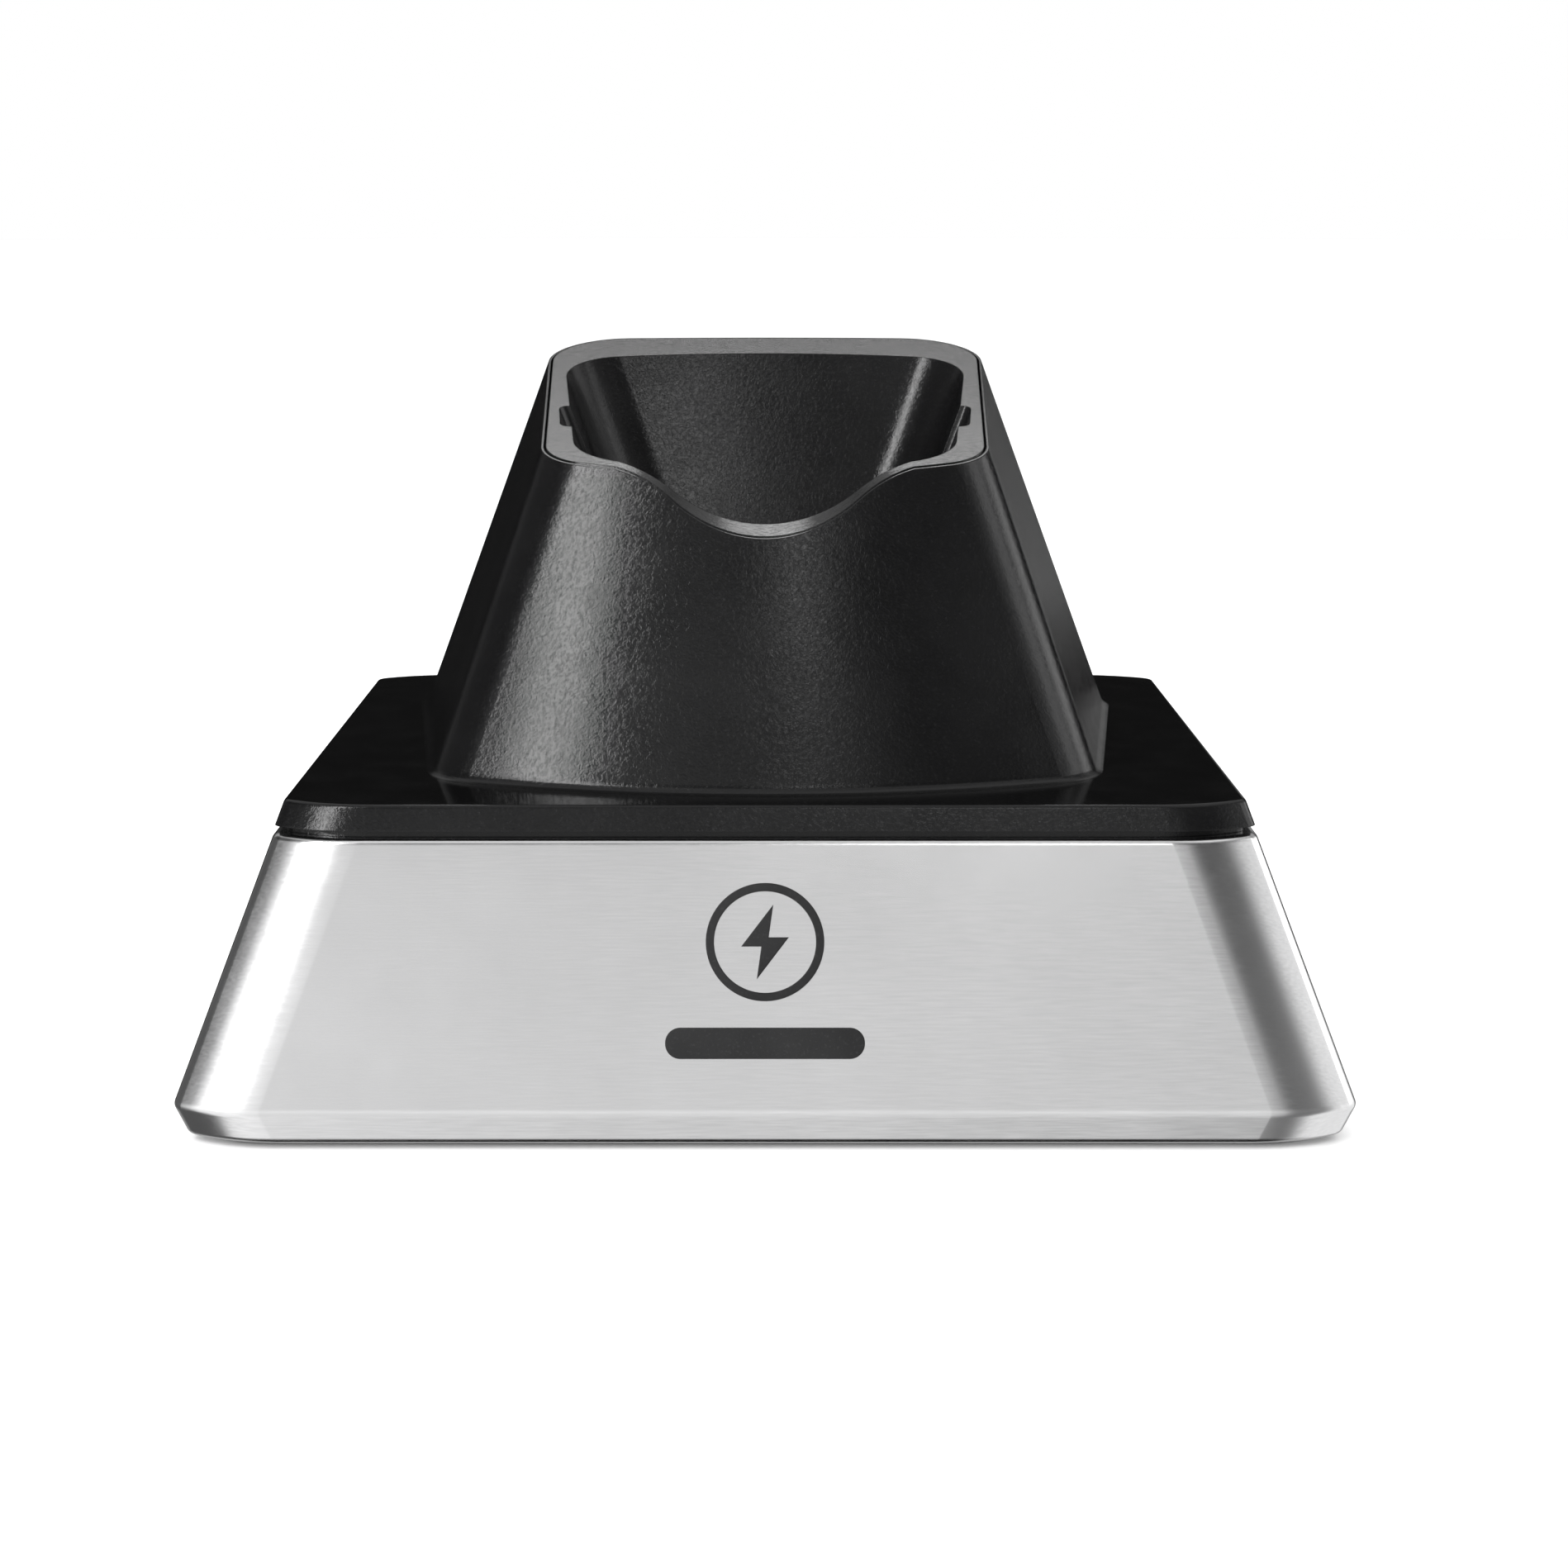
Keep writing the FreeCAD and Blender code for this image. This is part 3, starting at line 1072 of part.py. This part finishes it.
def make_screws(label, places, seat, head, shank, head_below=True):
    """Identical screws in one node, each with a cross recess in its head.

    head is its radius and height, shank its radius and length; the head bears on seat."""
    head_size, head_height = head
    shank_size, reach = shank
    way = 1 if head_below else -1
    length, width, depth = SLOT
    screws = []
    for x, y in places:
        head_low = f"({seat}) - ({head_height})" if head_below else seat
        shank_low = seat if head_below else f"({seat}) - ({reach})"
        disc = cylinder(f"{label}_head", x, y, head_low, head_size, head_height)
        rod = cylinder(f"{label}_shank", x, y, shank_low, shank_size, reach)
        outer = f"({seat}) - ({way}) * ({head_height})"
        low = outer if head_below else f"({outer}) - {depth}"
        across = box(f"{label}_slot_x", (f"({x}) - {length}/2", f"({y}) - {width}/2", low),
                     (length, width, depth))
        along = box(f"{label}_slot_y", (f"({x}) - {width}/2", f"({y}) - {length}/2", low),
                    (width, length, depth))
        screws.append(cut(f"{label}_screw", fuse(f"{label}_blank", [disc, rod]),
                          fuse(f"{label}_cross", [across, along])))
    group = doc.addObject("Part::Compound", label)
    group.Links = screws
    publish(group, label)


def make_all_screws():
    """Every fastener of the stand."""
    corners = [(f"{side}*post_x", f"{end}*post_y") for side in (-1, 1) for end in (-1, 1)]
    make_screws("base_screws", corners, "plate_low + counterbore", head=("2.75", "2"), shank=("1.2", "15"))
    pair = [(f"{side}*board_hole_x", "board_centre - board_hole_y") for side in (-1, 1)]
    make_screws("board_screws", pair, "board_top", head=("2.2", "1.5"), shank=("1", "5"), head_below=False)
    pair = [(f"{side}*stud_x", "ballast_centre") for side in (-1, 1)]
    make_screws("ballast_screws", pair, "ballast_top", head=("4.2", "1.6"), shank=("1.2", "5.4"),
                head_below=False)
    pair = [(f"{side}*ear_x", "contact_y") for side in (-1, 1)]
    make_screws("contact_block_screws", pair, "block_top - 3", head=("2.4", "1.7"), shank=("1.05", "11"))
    pair = [(f"{side}*bracket_x", "bracket_y") for side in (-1, 1)]
    make_screws("liner_screws", pair, "bracket_low", head=("2.4", "1.7"), shank=("1.05", "7"))


# ---------------------------------------------------------------------- badge

def make_badge():
    """Foil badge on the front slope: a ring with a charge bolt, and a plain bar below."""
    bar = new_sketch(None, "badge_bar_outline", "XY", "base_crease")
    rounded_rectangle(bar, "10.9", "1.7", "1.65", "0", "badge_bar")
    ring = new_sketch(None, "badge_ring_outline", "XY", "base_crease")
    circle(ring, "0", "badge_emblem", "6.5")
    circle(ring, "0", "badge_emblem", "5.6")
    bolt = new_sketch(None, "badge_bolt_outline", "XY", "base_crease")
    corners = [(0.9, 4.1), (-2.6, -0.5), (-0.4, -0.5), (-0.9, -4.1), (2.6, 0.5), (0.4, 0.5)]
    polygon(bolt, [(str(x), f"badge_emblem + {y}") for x, y in corners])
    turn = FreeCAD.Rotation(FreeCAD.Vector(1, 0, 0), 90 - number("base_draft"))
    pieces = []
    for name, sketch in (("badge_bar", bar), ("badge_ring", ring), ("badge_bolt", bolt)):
        sketch.Placement = FreeCAD.Placement(vector("0", "-base_half_y", "base_crease"), turn)
        pieces.append(extruded(name, sketch, "badge_thick"))
    group = doc.addObject("Part::Compound", "front_badge")
    group.Links = pieces
    publish(group, "front_badge")


# ------------------------------------------------------------------------ run

def export_parts():
    """Check every object of the document, then write one file per sub-part."""
    doc.recompute()
    for obj in doc.Objects:
        if {"Invalid", "Error"} & set(obj.State):
            raise RuntimeError(f"{obj.Name} failed: {obj.State}")
    for obj in parts:
        shape = obj.Shape
        if shape.isNull() or not shape.isValid() or not shape.Solids:
            raise RuntimeError(f"{obj.Label} has no valid solid")
    os.makedirs("parts", exist_ok=True)
    for obj in parts:
        obj.Shape.exportStep(f"parts/{obj.Label}.step")
        print(f"{obj.Label}: {len(obj.Shape.Solids)} solid(s), {obj.Shape.Volume:.0f} mm3")


make_base_shell()
make_base_plate()
make_feet()
make_top_cover()
make_cup_liner()
make_contacts()
make_board()
make_inlet()
make_electronics()
make_ballast()
make_wires()
make_all_screws()
make_badge()
export_parts()
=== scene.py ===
import json
import math

import bpy
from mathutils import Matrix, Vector


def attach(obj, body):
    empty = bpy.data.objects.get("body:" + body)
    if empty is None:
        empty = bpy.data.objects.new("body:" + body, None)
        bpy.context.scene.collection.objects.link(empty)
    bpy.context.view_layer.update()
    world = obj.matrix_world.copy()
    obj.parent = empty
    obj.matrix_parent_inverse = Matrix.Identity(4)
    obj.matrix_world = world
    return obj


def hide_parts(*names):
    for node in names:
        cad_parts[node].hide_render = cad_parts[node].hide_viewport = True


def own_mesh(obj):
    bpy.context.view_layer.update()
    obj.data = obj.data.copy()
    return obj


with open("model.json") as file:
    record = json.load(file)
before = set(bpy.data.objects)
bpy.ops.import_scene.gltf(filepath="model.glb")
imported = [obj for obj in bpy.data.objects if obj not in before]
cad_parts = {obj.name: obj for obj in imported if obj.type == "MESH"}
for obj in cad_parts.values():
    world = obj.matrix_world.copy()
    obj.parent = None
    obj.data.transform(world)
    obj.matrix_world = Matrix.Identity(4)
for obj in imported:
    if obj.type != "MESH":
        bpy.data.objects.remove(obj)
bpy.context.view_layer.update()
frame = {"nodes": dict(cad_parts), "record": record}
scene = bpy.context.scene
MM = 0.001
BEVEL_SAMPLES = 6

# Plastics: dark and light tone, roughness, width and depth of the grain.
PLASTICS = {
    "black_cover": ((0.004, 0.004, 0.0042), (0.006, 0.006, 0.0062), 0.14, 0.55 * MM, 0.011 * MM),
    "black_liner": ((0.005, 0.005, 0.0052), (0.007, 0.007, 0.0072), 0.14, 0.55 * MM, 0.009 * MM),
    "black_matte": ((0.012, 0.012, 0.0125), (0.018, 0.018, 0.0185), 0.5, 0.5 * MM, 0.02 * MM),
    "foot_rubber": ((0.014, 0.014, 0.014), (0.024, 0.024, 0.024), 0.78, 0.25 * MM, 0.02 * MM),
    "badge_foil": ((0.008, 0.008, 0.0085), (0.013, 0.013, 0.0135), 0.5, 0.3 * MM, 0.006 * MM),
}
# Painted highlight: how strongly the colour along sharp edges is lightened, for each plastic.
PAINTED_EDGE_HIGHLIGHTS = {"black_cover": 0.1, "black_liner": 0.1, "black_matte": 0.2}
# Level tops left smooth and glossy, with painted shade darkening their colour.
POLISHED_SHADED_TOPS = {"black_cover"}
POLISHED_ROUGHNESS = 0.12

# Metals: dark and light tone, roughness, and the brush, whose smallest number lies along the strokes.
METALS = {
    "silver_shell": ((0.84, 0.84, 0.845), (0.90, 0.90, 0.905), 0.2, (0.06, 1, 1)),
    "ballast_steel": ((0.30, 0.30, 0.31), (0.42, 0.42, 0.43), 0.38, (1, 0.08, 1)),
    "contact_brass": ((0.68, 0.48, 0.20), (0.80, 0.60, 0.30), 0.28, (1, 1, 0.1)),
    "contact_plating": ((0.72, 0.70, 0.66), (0.85, 0.83, 0.78), 0.16, (1, 1, 0.2)),
    "spring_steel": ((0.40, 0.40, 0.41), (0.55, 0.55, 0.56), 0.3, (1, 1, 0.3)),
    "screw_steel": ((0.45, 0.45, 0.46), (0.62, 0.62, 0.63), 0.3, (1, 1, 1)),
    "component_can": ((0.5, 0.5, 0.52), (0.68, 0.68, 0.7), 0.3, (1, 1, 0.1)),
}

# Small hidden pieces: dark and light tone, roughness.
GLOSSES = {
    "natural_plastic": ((0.62, 0.59, 0.51), (0.72, 0.69, 0.61), 0.45),
    "black_component": ((0.012, 0.012, 0.013), (0.024, 0.024, 0.025), 0.4),
    "wire_red": ((0.38, 0.015, 0.012), (0.5, 0.03, 0.022), 0.35),
    "wire_black": ((0.012, 0.012, 0.012), (0.025, 0.025, 0.025), 0.35),
}

# The studio room's brightness in reflections, and the even dome's on matt surfaces.
ROOM_BRIGHTNESS = 1.3
DOME_BRIGHTNESS = 1.45
# Grey levels of the room around the stand: degrees from the front, positive to the right, and level.
ROOM_AROUND = [(-180, 0.5), (-145, 0.4), (-118, 0.08), (-74, 0.08), (-58, 0.9), (-30, 0.95), (-8, 0.68),
               (12, 0.66), (28, 0.14), (50, 0.18), (68, 0.85), (95, 0.8), (122, 0.85), (140, 0.4), (180, 0.5)]
# Grey levels of the room by height: degrees above the horizon, and level.
ROOM_HEIGHTS_REAR = [(-75, 0.0), (-55, 0.8), (-30, 0.7), (-14, 0.02), (17, 0.02), (24, 0.5), (34, 0.9)]
ROOM_HEIGHTS_FRONT = [(-72, 0.0), (-60, 0.86), (-20, 0.9), (-5, 1.0), (8, 1.0), (20, 0.8), (28, 0.78),
                      (34, 0.25)]
# The rear heights give way to the front ones where a direction's forward part lies between these.
REAR_TO_FRONT = (-0.8, -0.45)

# Soft boxes: azimuth and elevation in degrees, then distance, width and height in metres, and brightness.
SOFT_BOXES = {
    "left_box": (-43, 30, 0.75, 0.145, 0.62, 13.5),
    "front_box": (8, 36, 0.9, 0.11, 0.14, 4.5),
    "right_box": (88, 24, 0.8, 0.26, 0.5, 1.2),
    "far_right_box": (116, 14, 0.8, 0.3, 0.2, 1.0),
    "rear_right_box": (158, 4, 0.9, 0.22, 0.25, 0.25),
    "rear_box": (180, 38, 0.9, 0.3, 0.12, 3.2),
    "top_box": (0, 90, 1.0, 1.5, 1.5, 0.5),
}
LIGHT_TARGET = (0, 0, 0.04)

FLOOR_RADIUS = 6.0
FLOOR_SIDES = 64
FLOOR_DARK = (0.84, 0.84, 0.84)
FLOOR_LIGHT = (0.88, 0.88, 0.88)

CAMERA_PLACE = (0, -0.36685, 0.10311)
CAMERA_DIP = 11.3
CAMERA_LENS = 68.35
CAMERA_SENSOR = 36
CAMERA_SHIFT = 0.0121

# ------------------------------------------------------------------ shader kit

class Material:
    """A node material, with short calls for the nodes that every finish here needs."""

    def __init__(self, name):
        self.material = bpy.data.materials.new(name)
        self.material.use_nodes = True
        self.tree = self.material.node_tree
        self.shader = self.tree.nodes["Principled BSDF"]
        self.place = self.node("ShaderNodeTexCoord").outputs["Object"]

    def node(self, kind, **properties):
        node = self.tree.nodes.new(kind)
        for key, value in properties.items():
            setattr(node, key, value)
        return node

    def link(self, source, target):
        self.tree.links.new(source, target)

    def set(self, **constants):
        """Constants on the shader's own sockets; words are joined by underscores."""
        for key, value in constants.items():
            self.shader.inputs[key.replace("_", " ")].default_value = value

    def stretched(self, scale):
        """Object coordinates stretched along the axes, for brushed or drawn surfaces."""
        mapping = self.node("ShaderNodeMapping")
        mapping.inputs["Scale"].default_value = scale
        self.link(self.place, mapping.inputs["Vector"])
        return mapping.outputs["Vector"]

    def noise(self, feature, detail=3.0, roughness=0.55, distortion=0.0, vector=None):
        """Noise whose features are about this many metres across."""
        node = self.node("ShaderNodeTexNoise")
        node.inputs["Scale"].default_value = 1 / feature
        node.inputs["Detail"].default_value = detail
        node.inputs["Roughness"].default_value = roughness
        node.inputs["Distortion"].default_value = distortion
        self.link(vector or self.place, node.inputs["Vector"])
        return node.outputs["Fac"]

    def cells(self, feature, vector=None):
        """Soft cells, for the pebbled texture of a mould."""
        node = self.node("ShaderNodeTexVoronoi", feature="SMOOTH_F1")
        node.inputs["Scale"].default_value = 1 / feature
        node.inputs["Smoothness"].default_value = 0.6
        self.link(vector or self.place, node.inputs["Vector"])
        return node.outputs["Distance"]

    def ramp(self, source, low, high, first=0.0, second=1.0):
        """The source between low and high, carried to the range from first to second."""
        node = self.node("ShaderNodeMapRange")
        for key, value in (("From Min", low), ("From Max", high), ("To Min", first), ("To Max", second)):
            node.inputs[key].default_value = value
        self.link(source, node.inputs["Value"])
        return node.outputs["Result"]

    def math(self, operation, first, second):
        """A sum, difference or product of two items, which may be numbers or sockets."""
        node = self.node("ShaderNodeMath", operation=operation)
        for socket, item in zip(node.inputs, (first, second)):
            if isinstance(item, (int, float)):
                socket.default_value = item
            else:
                self.link(item, socket)
        return node.outputs["Value"]

    def blend(self, factor, first, second):
        """A colour between two colours, which may be tuples or sockets."""
        node = self.node("ShaderNodeMix", data_type="RGBA")
        self.link(factor, node.inputs["Factor"])
        for key, item in (("A", first), ("B", second)):
            socket = next(s for s in node.inputs if s.name == key and s.type == "RGBA")
            if isinstance(item, tuple):
                socket.default_value = (*item, 1)
            else:
                self.link(item, socket)
        return next(s for s in node.outputs if s.type == "RGBA")

    def facing_up(self):
        """One where the surface is level and faces up, else nought."""
        geometry = self.node("ShaderNodeNewGeometry")
        split = self.node("ShaderNodeSeparateXYZ")
        self.link(geometry.outputs["True Normal"], split.inputs[0])
        return self.ramp(split.outputs["Z"], 0.9, 0.985)

    def edges(self, radius):
        """One along sharp edges, nought elsewhere: where a rounded normal leaves the true one."""
        bevel = self.node("ShaderNodeBevel", samples=BEVEL_SAMPLES)
        bevel.inputs["Radius"].default_value = radius
        geometry = self.node("ShaderNodeNewGeometry")
        dot = self.node("ShaderNodeVectorMath", operation="DOT_PRODUCT")
        self.link(bevel.outputs[0], dot.inputs[0])
        self.link(geometry.outputs["Normal"], dot.inputs[1])
        return self.ramp(dot.outputs["Value"], 0.995, 0.9)

    def relief(self, heights, soften=0.0):
        """Bumps laid over each other; each is (height socket, height in metres, strength)."""
        normal = None
        if soften:
            bevel = self.node("ShaderNodeBevel", samples=BEVEL_SAMPLES)
            bevel.inputs["Radius"].default_value = soften
            normal = bevel.outputs[0]
        for height, distance, strength in heights:
            bump = self.node("ShaderNodeBump")
            bump.inputs["Distance"].default_value = distance
            bump.inputs["Strength"].default_value = strength
            self.link(height, bump.inputs["Height"])
            if normal is not None:
                self.link(normal, bump.inputs["Normal"])
            normal = bump.outputs["Normal"]
        self.link(normal, self.shader.inputs["Normal"])


def grained_plastic(name, dark, light, roughness, grain, depth, edge_highlight=0.0, polished_shaded_top=False):
    """Moulded plastic with a leathery grain and a painted highlight along sharp edges; a level top may be
    left smooth and glossy, with painted shade darkening its colour.
    """
    m = Material(name)
    cloud = m.noise(12 * MM, detail=4)
    colour = m.blend(m.ramp(cloud, 0.35, 0.65), dark, light)
    speck = m.noise(0.3 * MM, detail=1)
    colour = m.blend(m.ramp(speck, 0.6, 0.75, 0, 0.4), colour, tuple(2.2 * c for c in light))
    # Painted highlight: colour lightened along sharp edges, patchy with noise.
    if edge_highlight:
        highlight_mask = m.math("MULTIPLY", m.edges(0.35 * MM), m.ramp(m.noise(3 * MM), 0.35, 0.65, 0.4, 1.0))
        colour = m.blend(m.math("MULTIPLY", highlight_mask, edge_highlight), colour, tuple(4 * c for c in light))
    rough = m.ramp(m.noise(5 * MM, detail=5), 0.3, 0.7, roughness - 0.03, roughness + 0.04)
    hide = m.ramp(m.noise(grain, detail=3, roughness=0.6, distortion=1.5), 0.3, 0.7)
    hide = m.math("ADD", hide, m.math("MULTIPLY", m.cells(1.4 * grain), 0.5))
    if polished_shaded_top:
        top = m.facing_up()
        rough = m.math("SUBTRACT", rough, m.math("MULTIPLY", top, roughness - POLISHED_ROUGHNESS))
        hide = m.math("MULTIPLY", hide, m.math("SUBTRACT", 1.0, m.math("MULTIPLY", top, 0.97)))
        # Painted shade: the colour of level tops darkened.
        colour = m.blend(m.math("MULTIPLY", top, 0.8), colour, tuple(0.3 * c for c in dark))
    m.link(colour, m.shader.inputs["Base Color"])
    m.link(rough, m.shader.inputs["Roughness"])
    m.relief([(hide, depth, 1.0)], soften=0.2 * MM)
    m.set(Specular_IOR_Level=0.3)
    return m.material


def satin_metal(name, dark, light, roughness, brushed):
    """Plated or painted metal with a faint brush, cloudy gloss and a few fine scratches."""
    m = Material(name)
    cloud = m.noise(14 * MM, detail=5, roughness=0.6)
    colour = m.blend(m.ramp(cloud, 0.3, 0.7), dark, light)
    hair = m.noise(0.25 * MM, detail=3, vector=m.stretched(brushed))
    colour = m.blend(m.ramp(hair, 0.3, 0.7, 0.0, 0.25), colour, tuple(0.82 * c for c in dark))
    rough = m.math("ADD", m.ramp(hair, 0.3, 0.7, roughness - 0.03, roughness + 0.03),
                   m.ramp(m.noise(9 * MM, detail=6), 0.35, 0.65, -0.015, 0.02))
    m.link(colour, m.shader.inputs["Base Color"])
    m.link(rough, m.shader.inputs["Roughness"])
    m.relief([(hair, 0.002 * MM, 0.5)], soften=0.25 * MM)
    m.set(Metallic=1.0)
    return m.material


def plain_gloss(name, dark, light, roughness):
    """Small hidden pieces: soft colour change, uneven gloss and a faint orange peel."""
    m = Material(name)
    cloud = m.noise(4 * MM, detail=4)
    m.link(m.blend(m.ramp(cloud, 0.3, 0.7), dark, light), m.shader.inputs["Base Color"])
    fine = m.noise(0.3 * MM, detail=2)
    m.link(m.ramp(fine, 0.3, 0.7, roughness - 0.05, roughness + 0.06), m.shader.inputs["Roughness"])
    m.relief([(fine, 0.004 * MM, 0.5)], soften=0.1 * MM)
    return m.material


def circuit_board(name):
    """Green solder mask with slightly raised tracks under it."""
    m = Material(name)
    tracks = m.node("ShaderNodeTexBrick")
    tracks.inputs["Scale"].default_value = 90
    m.link(m.place, tracks.inputs["Vector"])
    mask = m.ramp(tracks.outputs["Fac"], 0.2, 0.8)
    colour = m.blend(mask, (0.012, 0.085, 0.03), (0.03, 0.17, 0.06))
    m.link(colour, m.shader.inputs["Base Color"])
    fine = m.noise(0.8 * MM, detail=3)
    m.link(m.ramp(fine, 0.3, 0.7, 0.25, 0.36), m.shader.inputs["Roughness"])
    m.relief([(mask, 0.03 * MM, 0.6), (fine, 0.004 * MM, 0.4)])
    return m.material


def make_materials():
    """One finish for each material slot of the record."""
    finishes = {"board_green": circuit_board("board_green")}
    for name, look in PLASTICS.items():
        finishes[name] = grained_plastic(name, *look, edge_highlight=PAINTED_EDGE_HIGHLIGHTS.get(name, 0.0),
                                         polished_shaded_top=name in POLISHED_SHADED_TOPS)
    for name, look in METALS.items():
        finishes[name] = satin_metal(name, *look)
    for name, look in GLOSSES.items():
        finishes[name] = plain_gloss(name, *look)
    return finishes


def make_springs(material):
    """Copies of the CAD's rigid springs in the given finish, which stand in place of the CAD's own."""
    for side in ("left", "right"):
        node = f"contact_spring_{side}"
        spring = bpy.data.objects.new(f"coil_{side}", frame["nodes"][node].data.copy())
        scene.collection.objects.link(spring)
        spring.data.materials.clear()
        spring.data.materials.append(material)
        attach(spring, "root")
        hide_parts(node)
        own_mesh(spring)


def dress_nodes(materials):
    """Every CAD node takes the finish of its material slot."""
    for entry in frame["record"]["subparts"]:
        node = frame["nodes"][entry["node"]]
        node.data.materials.clear()
        node.data.materials.append(materials[entry["material_slot"]])


# --------------------------------------------------------- floor, light, camera

def make_floor():
    """A pale round floor, wide enough to run to the horizon."""
    turns = [2 * math.pi * side / FLOOR_SIDES for side in range(FLOOR_SIDES)]
    rim = [(FLOOR_RADIUS * math.cos(turn), FLOOR_RADIUS * math.sin(turn), 0) for turn in turns]
    mesh = bpy.data.meshes.new("studio_floor")
    mesh.from_pydata(rim, [], [tuple(range(FLOOR_SIDES))])
    floor = bpy.data.objects.new("studio_floor", mesh)
    floor.visible_glossy = False
    scene.collection.objects.link(floor)
    m = Material("pale_floor")
    cloud = m.noise(0.25, detail=3)
    m.link(m.blend(m.ramp(cloud, 0.3, 0.7), FLOOR_DARK, FLOOR_LIGHT), m.shader.inputs["Base Color"])
    m.set(Roughness=0.9, Specular_IOR_Level=0.1)
    mesh.materials.append(m.material)


def make_softbox(name, azimuth, elevation, distance, width, height, brightness):
    """An area light that looks at the stand; azimuth 0 is the front, positive to the right.

    The brightness is the radiance of its face: 1 shows as white in a mirror.
    """
    light = bpy.data.lights.new(name, "AREA")
    light.shape = "RECTANGLE"
    light.size = width
    light.size_y = height
    light.energy = brightness * math.pi * width * height
    turn, rise = math.radians(azimuth), math.radians(elevation)
    away = Vector((math.sin(turn) * math.cos(rise), -math.cos(turn) * math.cos(rise), math.sin(rise)))
    lamp = bpy.data.objects.new(name, light)
    lamp.location = Vector(LIGHT_TARGET) + distance * away
    lamp.rotation_euler = (-away).to_track_quat("-Z", "Y").to_euler()
    lamp.visible_camera = False
    scene.collection.objects.link(lamp)


def set_stops(ramp, stops):
    """Grey levels along a colour ramp, as (position, level) pairs."""
    ramp.color_ramp.interpolation = "EASE"
    elements = ramp.color_ramp.elements
    while len(elements) < len(stops):
        elements.new(0.5)
    for element, (position, level) in zip(elements, stops):
        element.position = position
        element.color = (level, level, level, 1)


def make_room():
    """The studio: painted grey levels in reflections, an even dome for matt surfaces, white behind."""
    world = bpy.data.worlds.new("studio_room")
    world.use_nodes = True
    nodes, links = world.node_tree.nodes, world.node_tree.links

    def make(kind, *sources, **properties):
        node = nodes.new(kind)
        for key, value in properties.items():
            setattr(node, key, value)
        for socket, source in zip(node.inputs, sources):
            links.new(source, socket)
        return node

    def spread(source, low, high):
        node = make("ShaderNodeMapRange", source)
        node.inputs["From Min"].default_value = low
        node.inputs["From Max"].default_value = high
        return node.outputs["Result"]

    def grey_ramp(source, stops):
        ramp = make("ShaderNodeValToRGB", source)
        set_stops(ramp, stops)
        return ramp.outputs["Color"]

    direction = make("ShaderNodeSeparateXYZ", make("ShaderNodeTexCoord").outputs["Generated"]).outputs
    forward = make("ShaderNodeMath", direction["Y"], operation="MULTIPLY")
    forward.inputs[1].default_value = -1
    azimuth = make("ShaderNodeMath", direction["X"], forward.outputs["Value"], operation="ARCTAN2")
    round_room = grey_ramp(spread(azimuth.outputs["Value"], -math.pi, math.pi),
                           [((180 + angle) / 360, level) for angle, level in ROOM_AROUND])
    height = spread(direction["Z"], -1, 1)
    heights = [grey_ramp(height, [((1 + math.sin(math.radians(angle))) / 2, level) for angle, level in stops])
               for stops in (ROOM_HEIGHTS_REAR, ROOM_HEIGHTS_FRONT)]
    front = spread(forward.outputs["Value"], *REAR_TO_FRONT)
    mixed = make("ShaderNodeMixRGB", front, *heights)
    level = make("ShaderNodeMixRGB", blend_type="MULTIPLY")
    level.inputs["Fac"].default_value = 1
    links.new(round_room, level.inputs["Color1"])
    links.new(mixed.outputs["Color"], level.inputs["Color2"])
    walls = nodes["Background"]
    walls.inputs["Strength"].default_value = ROOM_BRIGHTNESS
    links.new(level.outputs["Color"], walls.inputs["Color"])
    seen = walls.outputs["Background"]
    rays = make("ShaderNodeLightPath").outputs
    for ray, brightness in (("Is Diffuse Ray", DOME_BRIGHTNESS), ("Is Camera Ray", 1.0)):
        white = nodes.new("ShaderNodeBackground")
        white.inputs["Color"].default_value = (1, 1, 1, 1)
        white.inputs["Strength"].default_value = brightness
        seen = make("ShaderNodeMixShader", rays[ray], seen, white.outputs["Background"]).outputs["Shader"]
    links.new(seen, nodes["World Output"].inputs["Surface"])
    scene.world = world


def make_lights():
    """A tall soft box to the left front, weaker ones to the front, right and rear, a wide one overhead."""
    for name, values in SOFT_BOXES.items():
        make_softbox(name, *values)


def make_camera():
    """A camera a little above the stand, straight from the front, with a long lens."""
    camera = bpy.data.cameras.new("camera")
    camera.sensor_width = CAMERA_SENSOR
    camera.lens = CAMERA_LENS
    camera.shift_x = CAMERA_SHIFT
    camera.clip_start = 0.01
    eye = bpy.data.objects.new("camera", camera)
    eye.location = CAMERA_PLACE
    eye.rotation_euler = (math.radians(90 - CAMERA_DIP), 0, 0)
    scene.collection.objects.link(eye)
    scene.camera = eye
    scene.view_settings.view_transform = "Standard"


make_camera()
finishes = make_materials()
dress_nodes(finishes)
make_springs(finishes["spring_steel"])
make_floor()
make_room()
make_lights()
